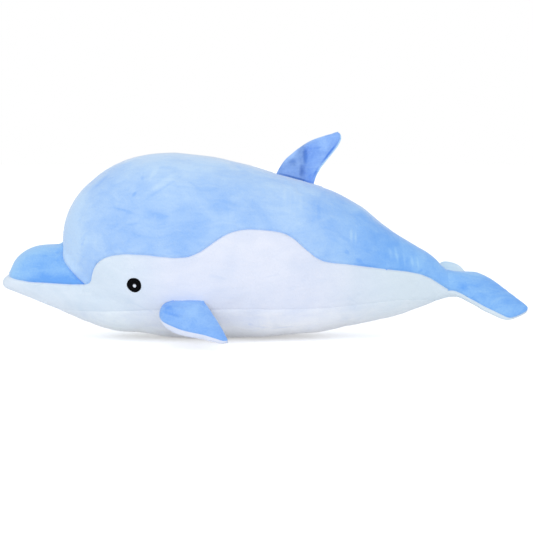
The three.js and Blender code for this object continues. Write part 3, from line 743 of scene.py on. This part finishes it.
def fresh_material(name, **sockets):
    """A new material, its nodes and its shader, with the shader's sockets set by name."""
    material = bpy.data.materials.new(name)
    material.use_nodes = True
    shader = material.node_tree.nodes["Principled BSDF"]
    for key, value in sockets.items():
        shader.inputs[key.replace("_", " ")].default_value = value
    return material, material.node_tree, shader


# How wide the patterns in the pile are
PATCH, STROKE, FINGER_MARK, TUFT = 50 * MM, 12 * MM, 20 * MM, 2 * MM


def plush(name, light, shade, sheen=0.6, tones=(), ends=(), grain=1.0):
    """Short pile plush. Where the pile lies another way it reads lighter or darker: in soft patches, in brush
    strokes along the nap and in a few finger marks. The tones, given as place, reach, amount and tilt in
    degrees, lighten or darken the colour there: some are such pile marks, others painted highlight and painted
    shade. An end is another shade and light that take over between two places along X in metres. Real pile
    hairs are 0.05 mm thick, which is too fine to show, so they are drawn as tufts 2 mm across."""
    material, tree, shader = fresh_material(
        name, Roughness=0.95, Specular_IOR_Level=0.2, Sheen_Weight=sheen, Sheen_Roughness=0.35,
        Sheen_Tint=(1.0, 1.0, 1.0, 1.0))
    place = add(tree, "ShaderNodeTexCoord").outputs["Object"]
    along_nap = add(tree, "ShaderNodeMapping", None, Vector=place, Scale=(0.35, 1.0, 1.0)).outputs["Vector"]
    patches = add(tree, "ShaderNodeTexNoise", None, Vector=place, Scale=1 / PATCH, Detail=3.0, Roughness=0.55,
                  Distortion=0.6)
    strokes = add(tree, "ShaderNodeTexNoise", None, Vector=along_nap, Scale=1 / STROKE, Detail=4.0,
                  Roughness=0.6, Distortion=0.8).outputs["Fac"]
    marks = add(tree, "ShaderNodeTexNoise", None, Vector=along_nap, Scale=1 / FINGER_MARK, Detail=1.0,
                Distortion=1.5)
    tufts = add(tree, "ShaderNodeTexNoise", None, Vector=place, Scale=1 / TUFT, Detail=2.0,
                Roughness=0.5).outputs["Fac"]
    tone = add(tree, "ShaderNodeMapRange", None, Value=patches.outputs["Fac"], From_Min=0.34, From_Max=0.66,
               To_Min=0.26, To_Max=0.74).outputs["Result"]
    for noise, strength in ((strokes, 0.9 * grain), (tufts, 0.35 * grain)):
        tone = add(tree, "ShaderNodeMath", {"operation": "MULTIPLY_ADD"}, noise, strength, tone).outputs[0]
        tone = add(tree, "ShaderNodeMath", {"operation": "SUBTRACT"}, tone, strength / 2).outputs[0]
    soft_step = {"interpolation_type": "SMOOTHSTEP"}
    pressed = add(tree, "ShaderNodeMapRange", soft_step, Value=marks.outputs["Fac"], From_Min=0.68,
                  From_Max=0.78, To_Min=0.0, To_Max=-0.3).outputs["Result"]
    tone = add(tree, "ShaderNodeMath", {"operation": "ADD"}, tone, pressed).outputs[0]
    for centre, reach, amount, *tilt in tones:
        nearby = add(tree, "ShaderNodeMapping", {"vector_type": "TEXTURE"}, Vector=place,
                     Location=[c * MM for c in centre], Rotation=(0, -math.radians(sum(tilt)), 0),
                     Scale=[r * MM for r in np.broadcast_to(reach, 3).tolist()])
        away = add(tree, "ShaderNodeVectorMath", {"operation": "LENGTH"}, nearby.outputs["Vector"])
        shift = add(tree, "ShaderNodeMapRange", soft_step, Value=away.outputs["Value"], To_Min=amount,
                    To_Max=0.0).outputs["Result"]
        tone = add(tree, "ShaderNodeMath", {"operation": "ADD"}, tone, shift).outputs[0]
    x = add(tree, "ShaderNodeSeparateXYZ", None, place).outputs["X"]
    colour = None
    for dark, pale, start, full in ((shade, light, 0, 0), *ends):
        own = add(tree, "ShaderNodeMix", {"data_type": "RGBA", "clamp_factor": True}, tone, linear(dark),
                  linear(pale)).outputs[2]
        if colour:
            share = add(tree, "ShaderNodeMapRange", soft_step, Value=x, From_Min=start,
                        From_Max=full).outputs["Result"]
            own = add(tree, "ShaderNodeMix", {"data_type": "RGBA"}, share, colour, own).outputs[2]
        colour = own
    tree.links.new(colour, shader.inputs["Base Color"])
    low = add(tree, "ShaderNodeBump", None, Height=strokes, Strength=0.3, Distance=3 * MM)
    fine = add(tree, "ShaderNodeBump", None, Height=tufts, Strength=0.35, Distance=1.2 * MM,
               Normal=low.outputs["Normal"])
    tree.links.new(fine.outputs["Normal"], shader.inputs["Normal"])
    return material


# Pale blue pile with painted highlight on the crown, the forehead's front and the top of the back, where light
# falls from above, lighter and darker patches on the sides of the head and back, and a turn to the deeper blue
# towards the flukes
DEEP_BLUE = ("#71adf5", "#a1d0fa")
pale_plush = plush("pale_blue_short_pile_plush", "#c4e0fb", "#97c1f7", 0.9, [
    # Painted highlight on the crown, the forehead's front and the top of the back
    ((-120, 0, 240), 115, 0.95), ((-250, 0, 140), 112, 1.0), ((-20, 0, 240), 92, 0.65),
    ((-125, -85, 150), 38, 0.2), ((-125, 85, 150), 38, 0.2), ((-70, -90, 122), 48, -0.4),
    ((-70, 90, 122), 48, -0.4), ((-117, -75, 145), (26, 30, 9), -0.35), ((-44, -70, 153), (32, 30, 11), -0.3),
    # Finger marks on the head, and strokes of lifted pile on the head and the tail stock
    ((-140, -55, 167), (5, 40, 2.6), -0.9, 50), ((-179, -40, 180), (17, 40, 3), -0.45, 42),
    ((-132, -50, 184), (3.5, 40, 4), -0.4), ((-111, -60, 172), (36, 40, 2.4), -0.28, 33),
    ((-113, -60, 177), (30, 40, 5), 0.35, 33), ((-120, -50, 189), (14, 40, 4), 0.35, 55),
    ((24, -40, 163), (4, 40, 15), 0.3), ((33, -40, 160), (3, 40, 12), -0.25),
    ((42, -40, 155), (4, 40, 14), 0.3), ((62, -45, 145), (4, 40, 15), -0.25),
    ((98, -45, 120), (3, 40, 11), 0.5), ((103, -45, 118), (2.2, 40, 9), 0.4),
    ((150, -30, 97), (14, 40, 2.8), 0.45, -78), ((159, -28, 92), (10, 40, 2.4), 0.3, -85),
    ((168, -28, 90), (10, 40, 3), 0.45, -80), ((175, -26, 87), (9, 40, 2), 0.35, -82),
    ((143, -32, 100), (9, 40, 3), 0.3, -80)],
    [(*DEEP_BLUE, 0.02, 0.16)])
BACK_CLOTH = 1.6


def dressed(piece, material, slot, *nodes, fill=0.85):
    """Gives a finished piece its material and hides the parts of the model that it stands in for."""
    piece.data.materials.clear()
    piece.data.materials.append(material)
    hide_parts(*nodes)
    return piece


def body_panel(panel, name, cloth, material, slot, *nodes):
    """A panel of the skin as a finished piece with its material, its place baked into its mesh."""
    piece = dressed(skin_piece(skin, panel, name, cloth), material, slot, *nodes)
    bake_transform(piece)


for side, panel in (("left", LEFT_BACK), ("right", RIGHT_BACK)):
    body_panel(panel, f"{side}_back_plush", BACK_CLOTH, pale_plush, "pale_blue_plush", f"{side}_back_panel")

# Side and belly panels: white plush of the same kind. The side panels run from the jaw over the cheek and
# flank to the tail, and the belly panel is a gusset between them, pressed flat where the toy lies on it.

# White pile takes on a faint blue towards the tail and the head. A painted light brightens it under the chin
# and jaw, where shade falls, and the middle of the left flank is paler
white_plush = plush("white_short_pile_plush", "#edf0fa", "#dde5f5", 0.3, [
    ((-5, -85, 108), (75, 40, 36), 0.5), ((-245, 0, 30), (80, 70, 32), 1.0)],
    [("#dbe8ef", "#e5f0f5", 0.04, 0.17), ("#dae8f3", "#ebf4fb", -0.09, -0.17)])
# Under the belly the pile is painted whiter towards the bottom, a painted light where shade falls near the
# table, and a little darker by its top seam to meet the side panels' tone
belly_plush = plush("white_short_pile_plush_with_painted_light_below", "#fafcff", "#dfe7f8", 1.0, [
    ((50, 0, 46), (260, 200, 16), -0.35), ((-20, 0, 0), (340, 160, 38), 0.9)],
    [("#dbe8ef", "#eff5f7", 0.04, 0.17), ("#dfeaf6", "#f7feff", -0.09, -0.17)])
for side, panel in (("left", LEFT_SIDE), ("right", RIGHT_SIDE)):
    body_panel(panel, f"{side}_side_plush", BACK_CLOTH, white_plush, "white_plush", f"{side}_side_panel")
body_panel(BELLY, "belly_plush", BACK_CLOTH, belly_plush, "white_plush", "belly_panel", "body_filling")

# Eyes: round patches of black satin stitch worked into the cheeks in two rings, with a small white glint
# stitched over them. Every stitch is one pull of thread that stands up a little in its middle.
EYE_RADIUS, EYE_INNER_RADIUS, GLINT_RADIUS, OUTLINE_CORNERS = 7.2, 4.5, 1.8, 48
EYE_PLACE, GLINT_SHIFT = (-140.1, 68.4), (0.7, -0.5)


def satin_tree():
    """Geometry Nodes that lay stitches of one length inwards from an outline, side by side."""
    tree = bpy.data.node_groups.new("satin_stitches", "GeometryNodeTree")
    for label, kind in (
            ("Outline", "Geometry"), ("Stitches", "Int"), ("Stitch Length", "Float"),
            ("Thread Width", "Float"), ("Thread Rise", "Float"), ("Seed", "Int"), ("Thread", "Material")):
        tree.interface.new_socket(label, in_out="INPUT", socket_type=f"NodeSocket{kind}")
    tree.interface.new_socket("Stitched", in_out="OUTPUT", socket_type="NodeSocketGeometry")
    given = add(tree, "NodeGroupInput").outputs
    outline = add(tree, "GeometryNodeMeshToCurve", None, Mesh=given["Outline"])
    spots = add(tree, "GeometryNodeResampleCurve", {"mode": "COUNT"}, Curve=outline.outputs[0],
                Count=given["Stitches"])
    thread = add(tree, "GeometryNodeCurveQuadraticBezier", None, Resolution=5, Start=(0, 0, 0),
                 Middle=(0.5, 0, 1), End=(1, 0, 0))
    profile = add(tree, "GeometryNodeCurvePrimitiveCircle", {"mode": "RADIUS"}, Resolution=5, Radius=0.5)
    tube = add(tree, "GeometryNodeCurveToMesh", None, Curve=thread.outputs[0],
               Profile_Curve=profile.outputs[0], Fill_Caps=True)
    place = add(tree, "GeometryNodeInputPosition")
    inwards = add(tree, "ShaderNodeVectorMath", {"operation": "SCALE"}, Vector=place.outputs[0], Scale=-1.0)
    facing = add(tree, "FunctionNodeAlignRotationToVector", {"axis": "X"}, Vector=inwards.outputs[0])
    uneven = add(tree, "FunctionNodeRandomValue", {"data_type": "FLOAT"}, 0.94, 1.04, Seed=given["Seed"])
    drawn = next(socket for socket in uneven.outputs if socket.enabled)
    length = add(tree, "ShaderNodeMath", {"operation": "MULTIPLY"}, given["Stitch Length"], drawn)
    size = add(tree, "ShaderNodeCombineXYZ", None, length.outputs[0], given["Thread Width"],
               given["Thread Rise"])
    laid = add(tree, "GeometryNodeInstanceOnPoints", None, Points=spots.outputs[0], Instance=tube.outputs[0],
               Rotation=facing.outputs[0], Scale=size.outputs[0])
    real = add(tree, "GeometryNodeRealizeInstances", None, laid.outputs[0])
    dyed = add(tree, "GeometryNodeSetMaterial", None, Geometry=real.outputs[0], Material=given["Thread"])
    add(tree, "NodeGroupOutput", None, dyed.outputs[0])
    return tree


def thread_material(name, colour):
    """Rayon embroidery thread, smoother and shinier than the plush."""
    return fresh_material(name, Base_Color=linear(colour), Roughness=0.55, Specular_IOR_Level=0.06)[0]


satin = satin_tree()
black_thread = thread_material("black_rayon_thread", "#040406")
white_thread = thread_material("white_rayon_thread", "#eef2f8")
skin_tree = BVHTree.FromBMesh(skin)


def satin_ring(radius, stitches, length, width, rise, seed, thread):
    """A flat ring of stitches round the origin, as a plain mesh in metres."""
    outline = bpy.data.meshes.new("outline")
    turns = np.linspace(0, 2 * math.pi, OUTLINE_CORNERS, endpoint=False)
    wobble = radius * (1 + 0.012 * np.sin(3 * turns + seed) + 0.01 * np.sin(5 * turns + 2 * seed))
    corners = np.stack([wobble * np.cos(turns), wobble * np.sin(turns), 0 * turns], 1) * MM
    sides = [(k, (k + 1) % OUTLINE_CORNERS) for k in range(OUTLINE_CORNERS)]
    outline.from_pydata(corners.tolist(), sides, [])
    holder = placed("outline", outline)
    nodes = holder.modifiers.new("satin", "NODES")
    nodes.node_group = satin
    names = {item.name: item.identifier for item in satin.interface.items_tree if item.in_out == "INPUT"}
    for label, value in (("Stitches", stitches), ("Stitch Length", length * MM), ("Thread Width", width * MM),
                         ("Thread Rise", rise * MM), ("Seed", seed), ("Thread", thread)):
        nodes[names[label]] = value
    return evaluated(holder)


def embroider(name, rings, slot, node, mirror):
    """Seats rings of stitches, each with its shift and lift in mm, on the cheek as one piece."""
    whole = bmesh.new()
    for mesh, shift, lift in rings:
        mesh.transform(Matrix.Translation((shift[0] * MM, shift[1] * MM, lift * MM)))
        whole.from_mesh(mesh)
        bpy.data.meshes.remove(mesh)
    beside = Vector((EYE_PLACE[0] * MM, 0.2 * mirror, EYE_PLACE[1] * MM))
    centre, normal, _, _ = skin_tree.ray_cast(beside, Vector((0, -mirror, 0)))
    sideways = Vector((1, 0, 0))
    sideways = (sideways - normal * sideways.dot(normal)).normalized()
    upright = sideways.cross(normal).normalized()
    upright *= 1 if upright.z > 0 else -1
    for vert in whole.verts:
        flat = centre + sideways * vert.co.x + upright * vert.co.y
        hit = skin_tree.ray_cast(flat + normal * 0.02, -normal)[0]
        vert.co = (hit or flat) + normal * vert.co.z
    if mirror > 0:
        bmesh.ops.reverse_faces(whole, faces=whole.faces[:])
    for face in whole.faces:
        face.smooth = True
    mesh = mesh_of(whole, name)
    whole.free()
    piece = placed(name, mesh)
    mesh.materials.clear()
    mesh.materials.append(black_thread if slot == "black_embroidery" else white_thread)
    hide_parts(node)
    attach(piece, "trunk")


for side, mirror in (("left", -1), ("right", 1)):
    outer = satin_ring(EYE_RADIUS, stitches=96, length=EYE_RADIUS - EYE_INNER_RADIUS + 0.6, width=0.62,
                       rise=0.9, seed=5, thread=black_thread)
    inner = satin_ring(EYE_INNER_RADIUS, stitches=60, length=EYE_INNER_RADIUS - 0.2, width=0.62, rise=1.0,
                       seed=6, thread=black_thread)
    embroider(f"{side}_eye_embroidery", [(outer, (0, 0), 0.0), (inner, (0, 0), 0.1)], "black_embroidery",
              f"{side}_eye", mirror)
    glint = satin_ring(GLINT_RADIUS, stitches=26, length=GLINT_RADIUS + 0.1, width=0.6, rise=0.7, seed=7,
                       thread=white_thread)
    embroider(f"{side}_eye_glint_embroidery", [(glint, GLINT_SHIFT, 0.55)], "white_embroidery",
              f"{side}_eye_glint", mirror)

# Beak top: one deeper blue plush panel over the upper jaw, sewn to the forehead in a deep fold and to the
# white jaw along the mouth. Its top is painted paler, a painted highlight where light falls from above. Beside
# the mouth it is darker with painted shade, and thin lines of painted shade lie in the fold at the forehead.
deep_plush = plush("deep_blue_short_pile_plush", DEEP_BLUE[1], DEEP_BLUE[0], 0.6, [
    ((-280, 0, 112), 58, 0.9), ((-240, 0, 112), 40, 0.7), ((-236, -38, 64), (54, 34, 17), -0.9),
    ((-236, 38, 64), (54, 34, 17), -0.9), ((-231, -10, 99), (3.5, 40, 4), -0.5),
    ((-230, -16, 91), (3, 40, 3), -0.4), ((209, -15, 72), 14, 0.4), ((227, -28, 59), (9, 30, 8), -0.5),
    ((247, -50, 52), (12, 40, 5), -0.3, -20)], grain=1.5)
beak = skin_piece(skin, BEAK, "beak_top_plush", BACK_CLOTH)
dressed(beak, deep_plush, "deep_blue_plush", "beak_top_panel", "beak_filling")
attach(beak, "trunk")

# Tail flukes: two lobes, each of a blue top panel and a white under panel, sewn together round the edge,
# lightly stuffed and sewn to the end of the tail stock.
FLUKE_CLOTH = 1.3
# The far lobe gets a much paler copy of the deeper blue plush, a painted highlight as if strongly lit, and so
# does the far side of the dorsal fin
painted_highlight_plush = plush("deep_blue_plush_with_painted_highlight", "#cdedff", "#c1e6ff", 0.8)
for side, top, under, material in (
        ("left", LEFT_FLUKE_TOP, LEFT_FLUKE_UNDER, deep_plush),
        ("right", RIGHT_FLUKE_TOP, RIGHT_FLUKE_UNDER, painted_highlight_plush)):
    body_panel(top, f"{side}_fluke_top_plush", FLUKE_CLOTH, material, "deep_blue_plush",
               f"{side}_fluke_top_panel", f"{side}_fluke_filling")
    body_panel(under, f"{side}_fluke_under_plush", FLUKE_CLOTH, white_plush, "white_plush",
               f"{side}_fluke_under_panel")
skin.free()

# Flippers: small stuffed paddles with a blue top and a white underside, sewn to the side panels by a
# pinched root, from which they hang down and sweep back. All faces start out as TOP.
LIMB_CLOTH = 1.3
FLIPPER_TIP = (48.2, 50.6)
flipper_front = [
    (-12, -7), (-19, -4.5), (-23.8, 0), (-26, 6.5), (-26, 12), (-24.4, 17.5), (-20.4, 24.4), (-14.6, 30.3),
    (-6.5, 35.6), (7.9, 40.8), (19.8, 44), (30, 47.8), (39.5, 51.1), (44.6, 51.9), FLIPPER_TIP]
flipper_rear = [
    (20, -7), (24, -1.5), (28.2, 4.7), (33.1, 14), (39.1, 25.2), (44.4, 36), (47.9, 44.2), (49.5, 48.2),
    FLIPPER_TIP]
flipper_thick = [
    (0, 1.5), (0.05, 2.6), (0.1, 4.4), (0.16, 6.8), (0.24, 8.6), (0.35, 8.8), (0.5, 8), (0.7, 6.4), (0.86, 5),
    (1, 3.6)]
flipper_folds = [
    ([(-16, 19), (-11.7, 21.4), (-5.2, 23.9), (5.8, 27)], 3.4, 1.7),
    ([(-19, 12), (-13, 13.1), (-2, 15.3), (8, 19.5)], 3.4, 1.7),
    ([(-6, 3.5), (2, 5), (12, 6)], 3.8, 0.9)]
TOP, UNDER = 0, 1
# Deeper blue pile, paler in the middle of its top, with two strokes of painted shade beside the root
flipper_plush = plush("deep_blue_plush_with_painted_root_shade", "#9fc9fa", "#70a7f3", 0.6, [
    ((-66, -98, 40), 34, 0.25), ((-66, 98, 40), 34, 0.25), ((-104, -95, 46), (14, 30, 4), -0.5, -20),
    ((-96, -95, 38), (16, 30, 3), -0.4, -15)], grain=1.4)


def on_limb(folds, height, turned, origin):
    """A limb's folds, which are drawn on its flat as chord and distance from its root, placed at a height."""
    return [(np.array([(u, height, v) for u, v in line]) @ turned.T + origin, width, depth)
            for line, width, depth in folds]


for side, mirror in (("left", -1), ("right", 1)):
    along = np.array([0.9938, 0.0704 * mirror, 0.0864])
    across = np.array([-0.1091, 0.7714 * mirror, 0.6270])
    outward = np.array([0.0225, 0.6325 * mirror, -0.7742])
    turned = np.stack([along, across, outward], 1)
    origin = np.array([-87.05, 79.33 * mirror, 46.62])
    limb = closed_loft(limb_form(flipper_front, flipper_rear, flipper_thick, turned, origin, 110, 130))
    seam = edge_level(turned, origin, flipper_front, flipper_rear, 5.6, (12, 32), (49, 57))
    cut_along(limb, {TOP}, seam, UNDER, TOP)
    limb.verts.index_update()
    ease_beside_seams(limb, 3)
    sew(limb, [({TOP, UNDER}, (0.7, 3.5, 0.0))])
    crease(limb, on_limb(flipper_folds, 8.0, turned, origin))
    # The front of the root is not caught in the seam and bulges out before the body
    points, _, _ = read_skin(limb)
    own = (points - origin) @ turned
    puff = np.exp(-((own[:, 0] + 13) / 11) ** 2) * (1 - ramp(own[:, 2], 2, 18))
    points[:, 1] += mirror * 4.5 * puff
    move_skin(limb, points)
    for panel, word, material, slot, nodes in (
            (TOP, "top", flipper_plush, "deep_blue_plush", ("top_panel", "filling")),
            (UNDER, "under", white_plush, "white_plush", ("under_panel",))):
        piece = skin_piece(limb, panel, f"{side}_flipper_{word}_plush", LIMB_CLOTH)
        dressed(piece, material, slot, *[f"{side}_flipper_{node}" for node in nodes])
        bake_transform(piece)
    limb.free()

# Dorsal fin: two deeper blue plush panels sewn round the edge, lightly stuffed, and caught in the ridge
# seam. So little filling holds it up that its cloth folds in. All faces start out as LEFT_FIN.
FIN_TIP = (33.4, 61.7)
fin_front = [
    (-21.6, -8), (-21, -4.6), (-19.8, 2.8), (-17.9, 10), (-14.7, 17.1), (-10.7, 23.3), (-6.9, 28.9),
    (-2.7, 34.3), (1.1, 39.1), (5.4, 43.4), (13.2, 49.6), (21.2, 54.8), (26.2, 58), (29, 60.2), (31, 61.4),
    FIN_TIP]
fin_rear = [
    (25, -7.6), (24.6, -1.9), (24.6, 3.2), (25.1, 9.8), (26.7, 17.5), (30.1, 26.7), (33.7, 35.5),
    (37.1, 44.2), (38.7, 51.1), (39, 55.2), (38.2, 58.1), (36.2, 60.9), FIN_TIP]
fin_thick = [(0, 4.6), (0.1, 5.2), (0.2, 6.4), (0.32, 7.4), (0.5, 7.4), (0.68, 6.2), (0.84, 4.8), (1, 3.4)]
fin_folds = [
    ([(8, 35), (5.1, 28.7), (4.6, 23.8), (4.1, 16.6), (6.3, 11.4), (7.9, 5.9), (9.5, -2)], 2.6, 4.6),
    ([(2.1, 30.9), (9.2, 34.7), (16.6, 37.5), (23, 41)], 2.4, 1.8),
    ([(3, 20), (-1.3, 16.8), (-5.2, 14.4), (-7.1, 8.5)], 2.4, 1.9),
    ([(-0.8, 10.5), (-1.3, 3.2), (-0.8, -3)], 2.2, 1.4),
    ([(-9, 5), (-6, 0), (-4, -4)], 2.0, 0.9)]
fin_turned = np.array([[0.9578, 0, 0.2876], [0, 1, 0], [-0.2876, 0, 0.9578]])
fin_origin = np.array([35.71, 0, 184.37])
LEFT_FIN, RIGHT_FIN = 0, 1
# Deeper blue pile, greyer in front and bluer behind, with painted highlight at the tip and along the leading
# edge, and painted shade in its folds, along the trailing edge and along its root
fin_plush = plush("deep_blue_plush_with_painted_light_and_shade", "#a6cafd", "#6088cd", 0.8, [
    ((84, 0, 234), 30, 0.25), ((60, 0, 200), 20, 0.2), ((36, 0, 182.6), (28, 20, 2), -0.9, -15),
    ((34, 0, 211), (24, 20, 6), 0.7, 50), ((62, 0, 229), (22, 20, 6), 0.6, 25),
    ((59.6, 0, 188), (10, 20, 1.8), -0.5, 63), ((75, 0, 210), (20, 20, 1.8), -1.0, 52),
    ((48, 0, 206), (4.5, 20, 14), -0.8), ((44, 0, 191), (5, 20, 11), -0.5), ((34, 0, 200), (9, 20, 8), -0.4),
    ((61, 0, 216), (10, 20, 3), -0.4, 5)], [("#5f92ea", "#a4cbff", 0.044, 0.054)])
fin = closed_loft(limb_form(fin_front, fin_rear, fin_thick, fin_turned, fin_origin, rings=120, sides=130))
seam = edge_level(fin_turned, fin_origin, fin_rear, fin_front, -1.6, (4, 16), (56, 63))
cut_along(fin, {LEFT_FIN}, seam, LEFT_FIN, RIGHT_FIN)
fin.verts.index_update()
ease_beside_seams(fin, 3)
sew(fin, [({LEFT_FIN, RIGHT_FIN}, (0.6, 2.4, 1.2))])
crease(fin, [fold for side in (-1, 1) for fold in on_limb(fin_folds, 5.5 * side, fin_turned, fin_origin)],
       lip=0.5)
# Away from its edge seam the folded cloth has no sharp ridges
points, _, edges = read_skin(fin)
soft = ramp(distance_to(points, points[seam_corners(fin)], 8), 1.5, 5)
move_skin(fin, smoothed(points, edges, 14, soft))
# The far panel takes the paler plush with its painted highlight
for panel, side, material, nodes in (
        (LEFT_FIN, "left", fin_plush, ("dorsal_fin_left_panel", "dorsal_fin_filling")),
        (RIGHT_FIN, "right", painted_highlight_plush, ("dorsal_fin_right_panel",))):
    piece = skin_piece(fin, panel, f"dorsal_fin_{side}_plush", LIMB_CLOTH)
    dressed(piece, material, "deep_blue_plush", *nodes, fill=0.6)
    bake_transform(piece)
fin.free()

# Setting: a white table under an even light from all round, a soft lamp over the front left and a low wide
# lamp in front, and the camera, which looks a little down.
scene = bpy.context.scene
scene.view_settings.view_transform = "Standard"


def seen_directly(tree):
    """1 for what the camera sees, also by a gloss or through glass, and 0 for what only lights the toy."""
    rays = add(tree, "ShaderNodeLightPath").outputs
    seen = add(tree, "ShaderNodeMath", {"operation": "MAXIMUM"}, rays["Is Camera Ray"], rays["Is Glossy Ray"])
    return add(tree, "ShaderNodeMath", {"operation": "MAXIMUM"}, seen.outputs[0],
               rays["Is Transmission Ray"]).outputs[0]


world = bpy.data.worlds.new("studio")
world.use_nodes = True
scene.world = world
sky = world.node_tree
sky.nodes.clear()
plain = add(sky, "ShaderNodeBackground", None, Color=(1, 1, 1, 1), Strength=1.0)
fill_light = add(sky, "ShaderNodeBackground", None, Color=linear("#f6f9ff"), Strength=0.84)
either = add(sky, "ShaderNodeMixShader", None, seen_directly(sky), fill_light.outputs[0], plain.outputs[0])
add(sky, "ShaderNodeOutputWorld", None, either.outputs[0])

# White paper, quite matt. It glows to the camera alone, so that it shows as white as the background and the
# toy still throws its shadow on it.
paper, tree, matt = fresh_material(
    "white_paper", Base_Color=(0.94, 0.94, 0.955, 1), Roughness=1.0, Specular_IOR_Level=0.0)
glow = add(tree, "ShaderNodeEmission", None, Color=(1, 1, 1, 1), Strength=0.46)
both = add(tree, "ShaderNodeAddShader", None, matt.outputs[0], glow.outputs[0])
shown = add(tree, "ShaderNodeMixShader", None, seen_directly(tree), matt.outputs[0], both.outputs[0])
tree.links.new(shown.outputs[0], tree.nodes["Material Output"].inputs["Surface"])
table = bmesh.new()
bmesh.ops.create_grid(table, x_segments=1, y_segments=1, size=6.0)
floor = placed("table_top", mesh_of(table, "table_top"))
table.free()
floor.data.materials.append(paper)


def facing(place, aim):
    """The turn that makes a lamp or camera at a place look at its aim."""
    return (Vector(aim) - Vector(place)).to_track_quat("-Z", "Y").to_euler()


for name, place, aim, width, height, watts in (
        ("top_lamp", (-0.5, -0.9, 2.0), (0, 0, 0.1), 1.6, 1.6, 3.6),
        ("low_lamp", (-0.1, -1.5, 0.13), (0, 0, 0.04), 2.4, 0.22, 4.7)):
    lamp = bpy.data.lights.new(name, "AREA")
    lamp.shape = "RECTANGLE"
    lamp.size, lamp.size_y, lamp.energy = width, height, watts
    light = placed(name, lamp)
    light.location, light.rotation_euler = place, facing(place, aim)

CAMERA_DISTANCE, CAMERA_FALL, CAMERA_LENS = 1.6, math.radians(6), 94.4
camera_aim = Vector((0.0042, 0, 0.0807))
lens = bpy.data.cameras.new("camera")
lens.sensor_width, lens.lens = 36, CAMERA_LENS
camera = placed("camera", lens)
camera.location = camera_aim + CAMERA_DISTANCE * Vector((0, -math.cos(CAMERA_FALL), math.sin(CAMERA_FALL)))
camera.rotation_euler = facing(camera.location, camera_aim)
scene.camera = camera
